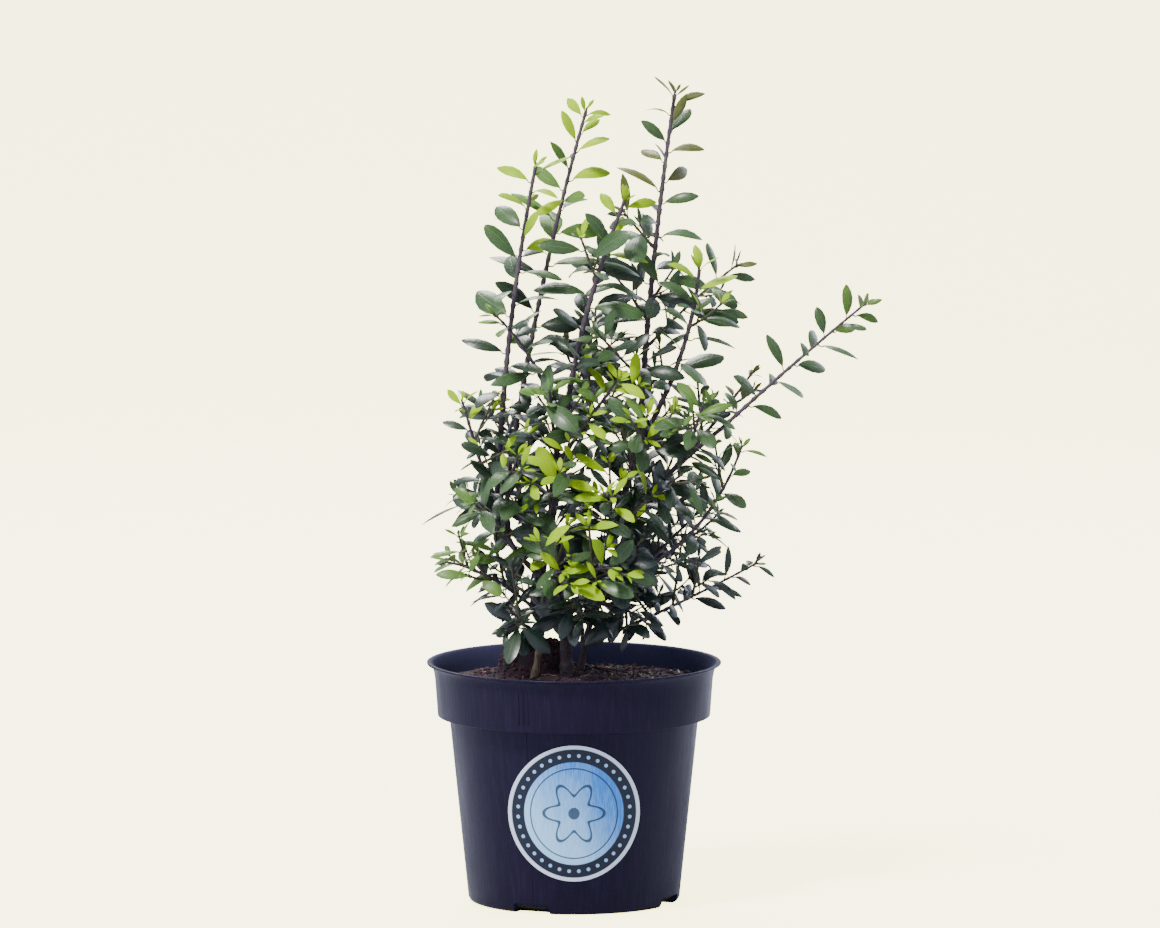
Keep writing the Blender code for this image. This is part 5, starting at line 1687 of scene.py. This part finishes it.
def place_leaf(name, shoot, share, turn, length, lean, draws):
    """Work out one leaf: it leans out from its twig, faces the light and arches back."""
    heading = shoot.heading(share)
    side, front = across_directions(heading)
    angle = math.radians(turn)
    out = side * math.cos(angle) + front * math.sin(angle)
    slant = math.radians(lean)
    along = heading * math.cos(slant) + out * math.sin(slant)
    along.z = max(along.z, -habit_of(name).light.droop)
    along.normalize()
    root = shoot.place(share) + along * (shoot.radius(share) * 0.6 + STALK_SHARE * length)
    outward = Vector((root.x - CROWN_MIDDLE[0], root.y - CROWN_MIDDLE[1], 0)).normalized()
    light = habit_of(name).light
    facing = heading * light.tip + outward * light.side + Vector((0, 0, light.above))
    facing += Vector((0, -FRONT_LIGHT.get(name, 0), 0))
    up = facing - along * facing.dot(along)
    if up.length < 0.1:
        up = out - along * out.dot(along)
    roll = math.radians(draws.uniform(-LEAF_ROLL, LEAF_ROLL))
    up = Matrix.Rotation(roll, 3, along) @ up.normalized()
    shape = draws.random()
    model, ratio = ("blade_long", 1) if shape < 0.62 else ("blade_round", ROUND_BLADE)
    if share > 0.9 or shape > 0.9:
        model, ratio = "blade_narrow", NARROW_BLADE
    width = length * habit_of(name).blade * ratio * draws.uniform(0.9, 1.12)
    return LeafPlace(root, along, up, length, width,
                     draws.uniform(0.16, 0.48), draws.uniform(-0.35, 0.12), draws.uniform(-0.4, 0.4),
                     draws.uniform(-0.08, 0.08), model, tone_of(name, root, share, draws))


def set_leaves(name, shoot, bare, scale, draws):
    """Set leaves in a spiral along a shoot, with a tuft of young ones at its tip."""
    habit = habit_of(name)
    scale *= LEAF_SCALES.get(name, 1.0)
    placed = []
    turn = draws.uniform(0, 360)
    rows = []
    travelled = max(bare * shoot.length, shoot.foot_radius + 2)
    while travelled < shoot.length - 1:
        share = travelled / shoot.length
        rows.append((share, 1.0, LEAF_LEAN_OLD + (LEAF_LEAN_YOUNG - LEAF_LEAN_OLD) * share ** 2))
        travelled += habit.spacing * (1.12 - 0.5 * share) * (0.6 + 0.4 * scale)
    rows.extend((0.985 + 0.005 * tuft, 0.66 - 0.13 * tuft, 40 - 8 * tuft) for tuft in range(4))
    for share, young_size, lean in rows:
        turn += GOLDEN_ANGLE + draws.uniform(-12, 12)
        fullness = 0.72 + 0.28 * math.sin(math.pi * min(share * 1.15, 1))
        size = habit.leaf * scale * fullness * young_size * draws.uniform(0.78, 1.12)
        for extra, shrink in ((0, 1), (25, 0.95), (-25, 0.88), (50, 0.78), (-50, 0.66)):
            leaf = place_leaf(name, shoot, share, turn + extra, max(size * shrink, SMALLEST_LEAF),
                              lean + draws.uniform(-16, 16), draws)
            if leaf_is_clear(leaf, shoot):
                placed.append((leaf, shoot, share))
                break
    return placed


# %% Set every leaf
SIDE_LEAF_SCALE = 1.0
SHORT_LEAF_SCALE = 0.96

leaves = []
for name, leader in leaders.items():
    draws = random.Random(f"{name} leaves")
    for twig in side_twigs[name]:
        leaves.extend(set_leaves(name, twig, 0.2, SIDE_LEAF_SCALE, draws))
    leaves.extend(set_leaves(name, leader, MASSES[name].bare, 1.0, draws))
for name, shoots in short_shoots.items():
    draws = random.Random(f"{name} short leaves")
    for shoot in shoots:
        leaves.extend(set_leaves(name, shoot, 0.3, SHORT_LEAF_SCALE, draws))
print(len(leaves), "leaves")

# %% Leaf blades, by tone
for tone_name in TONES:
    copies = {}
    for leaf, shoot, share in leaves:
        if leaf.tone == tone_name:
            copies.setdefault(leaf.model, []).append(leaf_body(leaf, leaf_models[leaf.model][0]) * MM)
    pieces = []
    for model, bodies in copies.items():
        faces, corners = leaf_models[model][1:]
        pieces.append(join_copies(f"leaves_{tone_name}_{model}", faces, corners, bodies))
    deselect()
    for piece in pieces:
        piece.select_set(True)
    bpy.context.view_layer.objects.active = pieces[0]
    bpy.ops.object.join()
    blades = bpy.context.object
    blades.name = f"leaves_{tone_name}"
    shade(blades, 75)
    if tone_name in ("dark", "teal"):
        dress(blades, leaf_materials[tone_name], list(MASSES))
    else:
        dress(blades, leaf_materials[tone_name], list(MASSES))

# %% Leaf stalks and buds
BUD_LENGTH = 2.8
BUD_WIDTH = 1.4

stalks = new_tubes("leaf_stalks", 0)
for leaf, shoot, share in leaves:
    base = shoot.place(share)
    join = leaf.root + leaf.along * (0.1 * leaf.length)
    middle = base.lerp(join, 0.5) - Vector((0, 0, 0.04 * leaf.length))
    strand(stalks.data, [base, middle, join], [0.55, 0.38, 0.26])
close_tubes(stalks)
shade(stalks, 80)
dress(stalks, leaf_stalk, list(MASSES))

deselect()
bpy.ops.mesh.primitive_uv_sphere_add(segments=7, ring_count=5, radius=0.5)
bud = bpy.context.object
for vertex in bud.data.vertices:
    taper = 1 - 0.5 * max(0, vertex.co.z)
    vertex.co = (vertex.co.x * taper * BUD_WIDTH, vertex.co.y * taper * BUD_WIDTH, vertex.co.z * BUD_LENGTH)
points, faces, corners = mesh_lists(bud)
bpy.data.objects.remove(bud)
copies = []
for shoot in [*leaders.values(), *sum(side_twigs.values(), []), *sum(short_shoots.values(), [])]:
    heading = shoot.heading(1)
    spin = np.array(heading.to_track_quat("Z", "Y").to_matrix())
    place = np.array(shoot.tip + heading * (0.35 * BUD_LENGTH))
    copies.append((points @ spin.T + place) * MM)
buds = join_copies("buds", faces, corners, copies)
shade(buds, 60)
dress(buds, young_bark, list(MASSES))
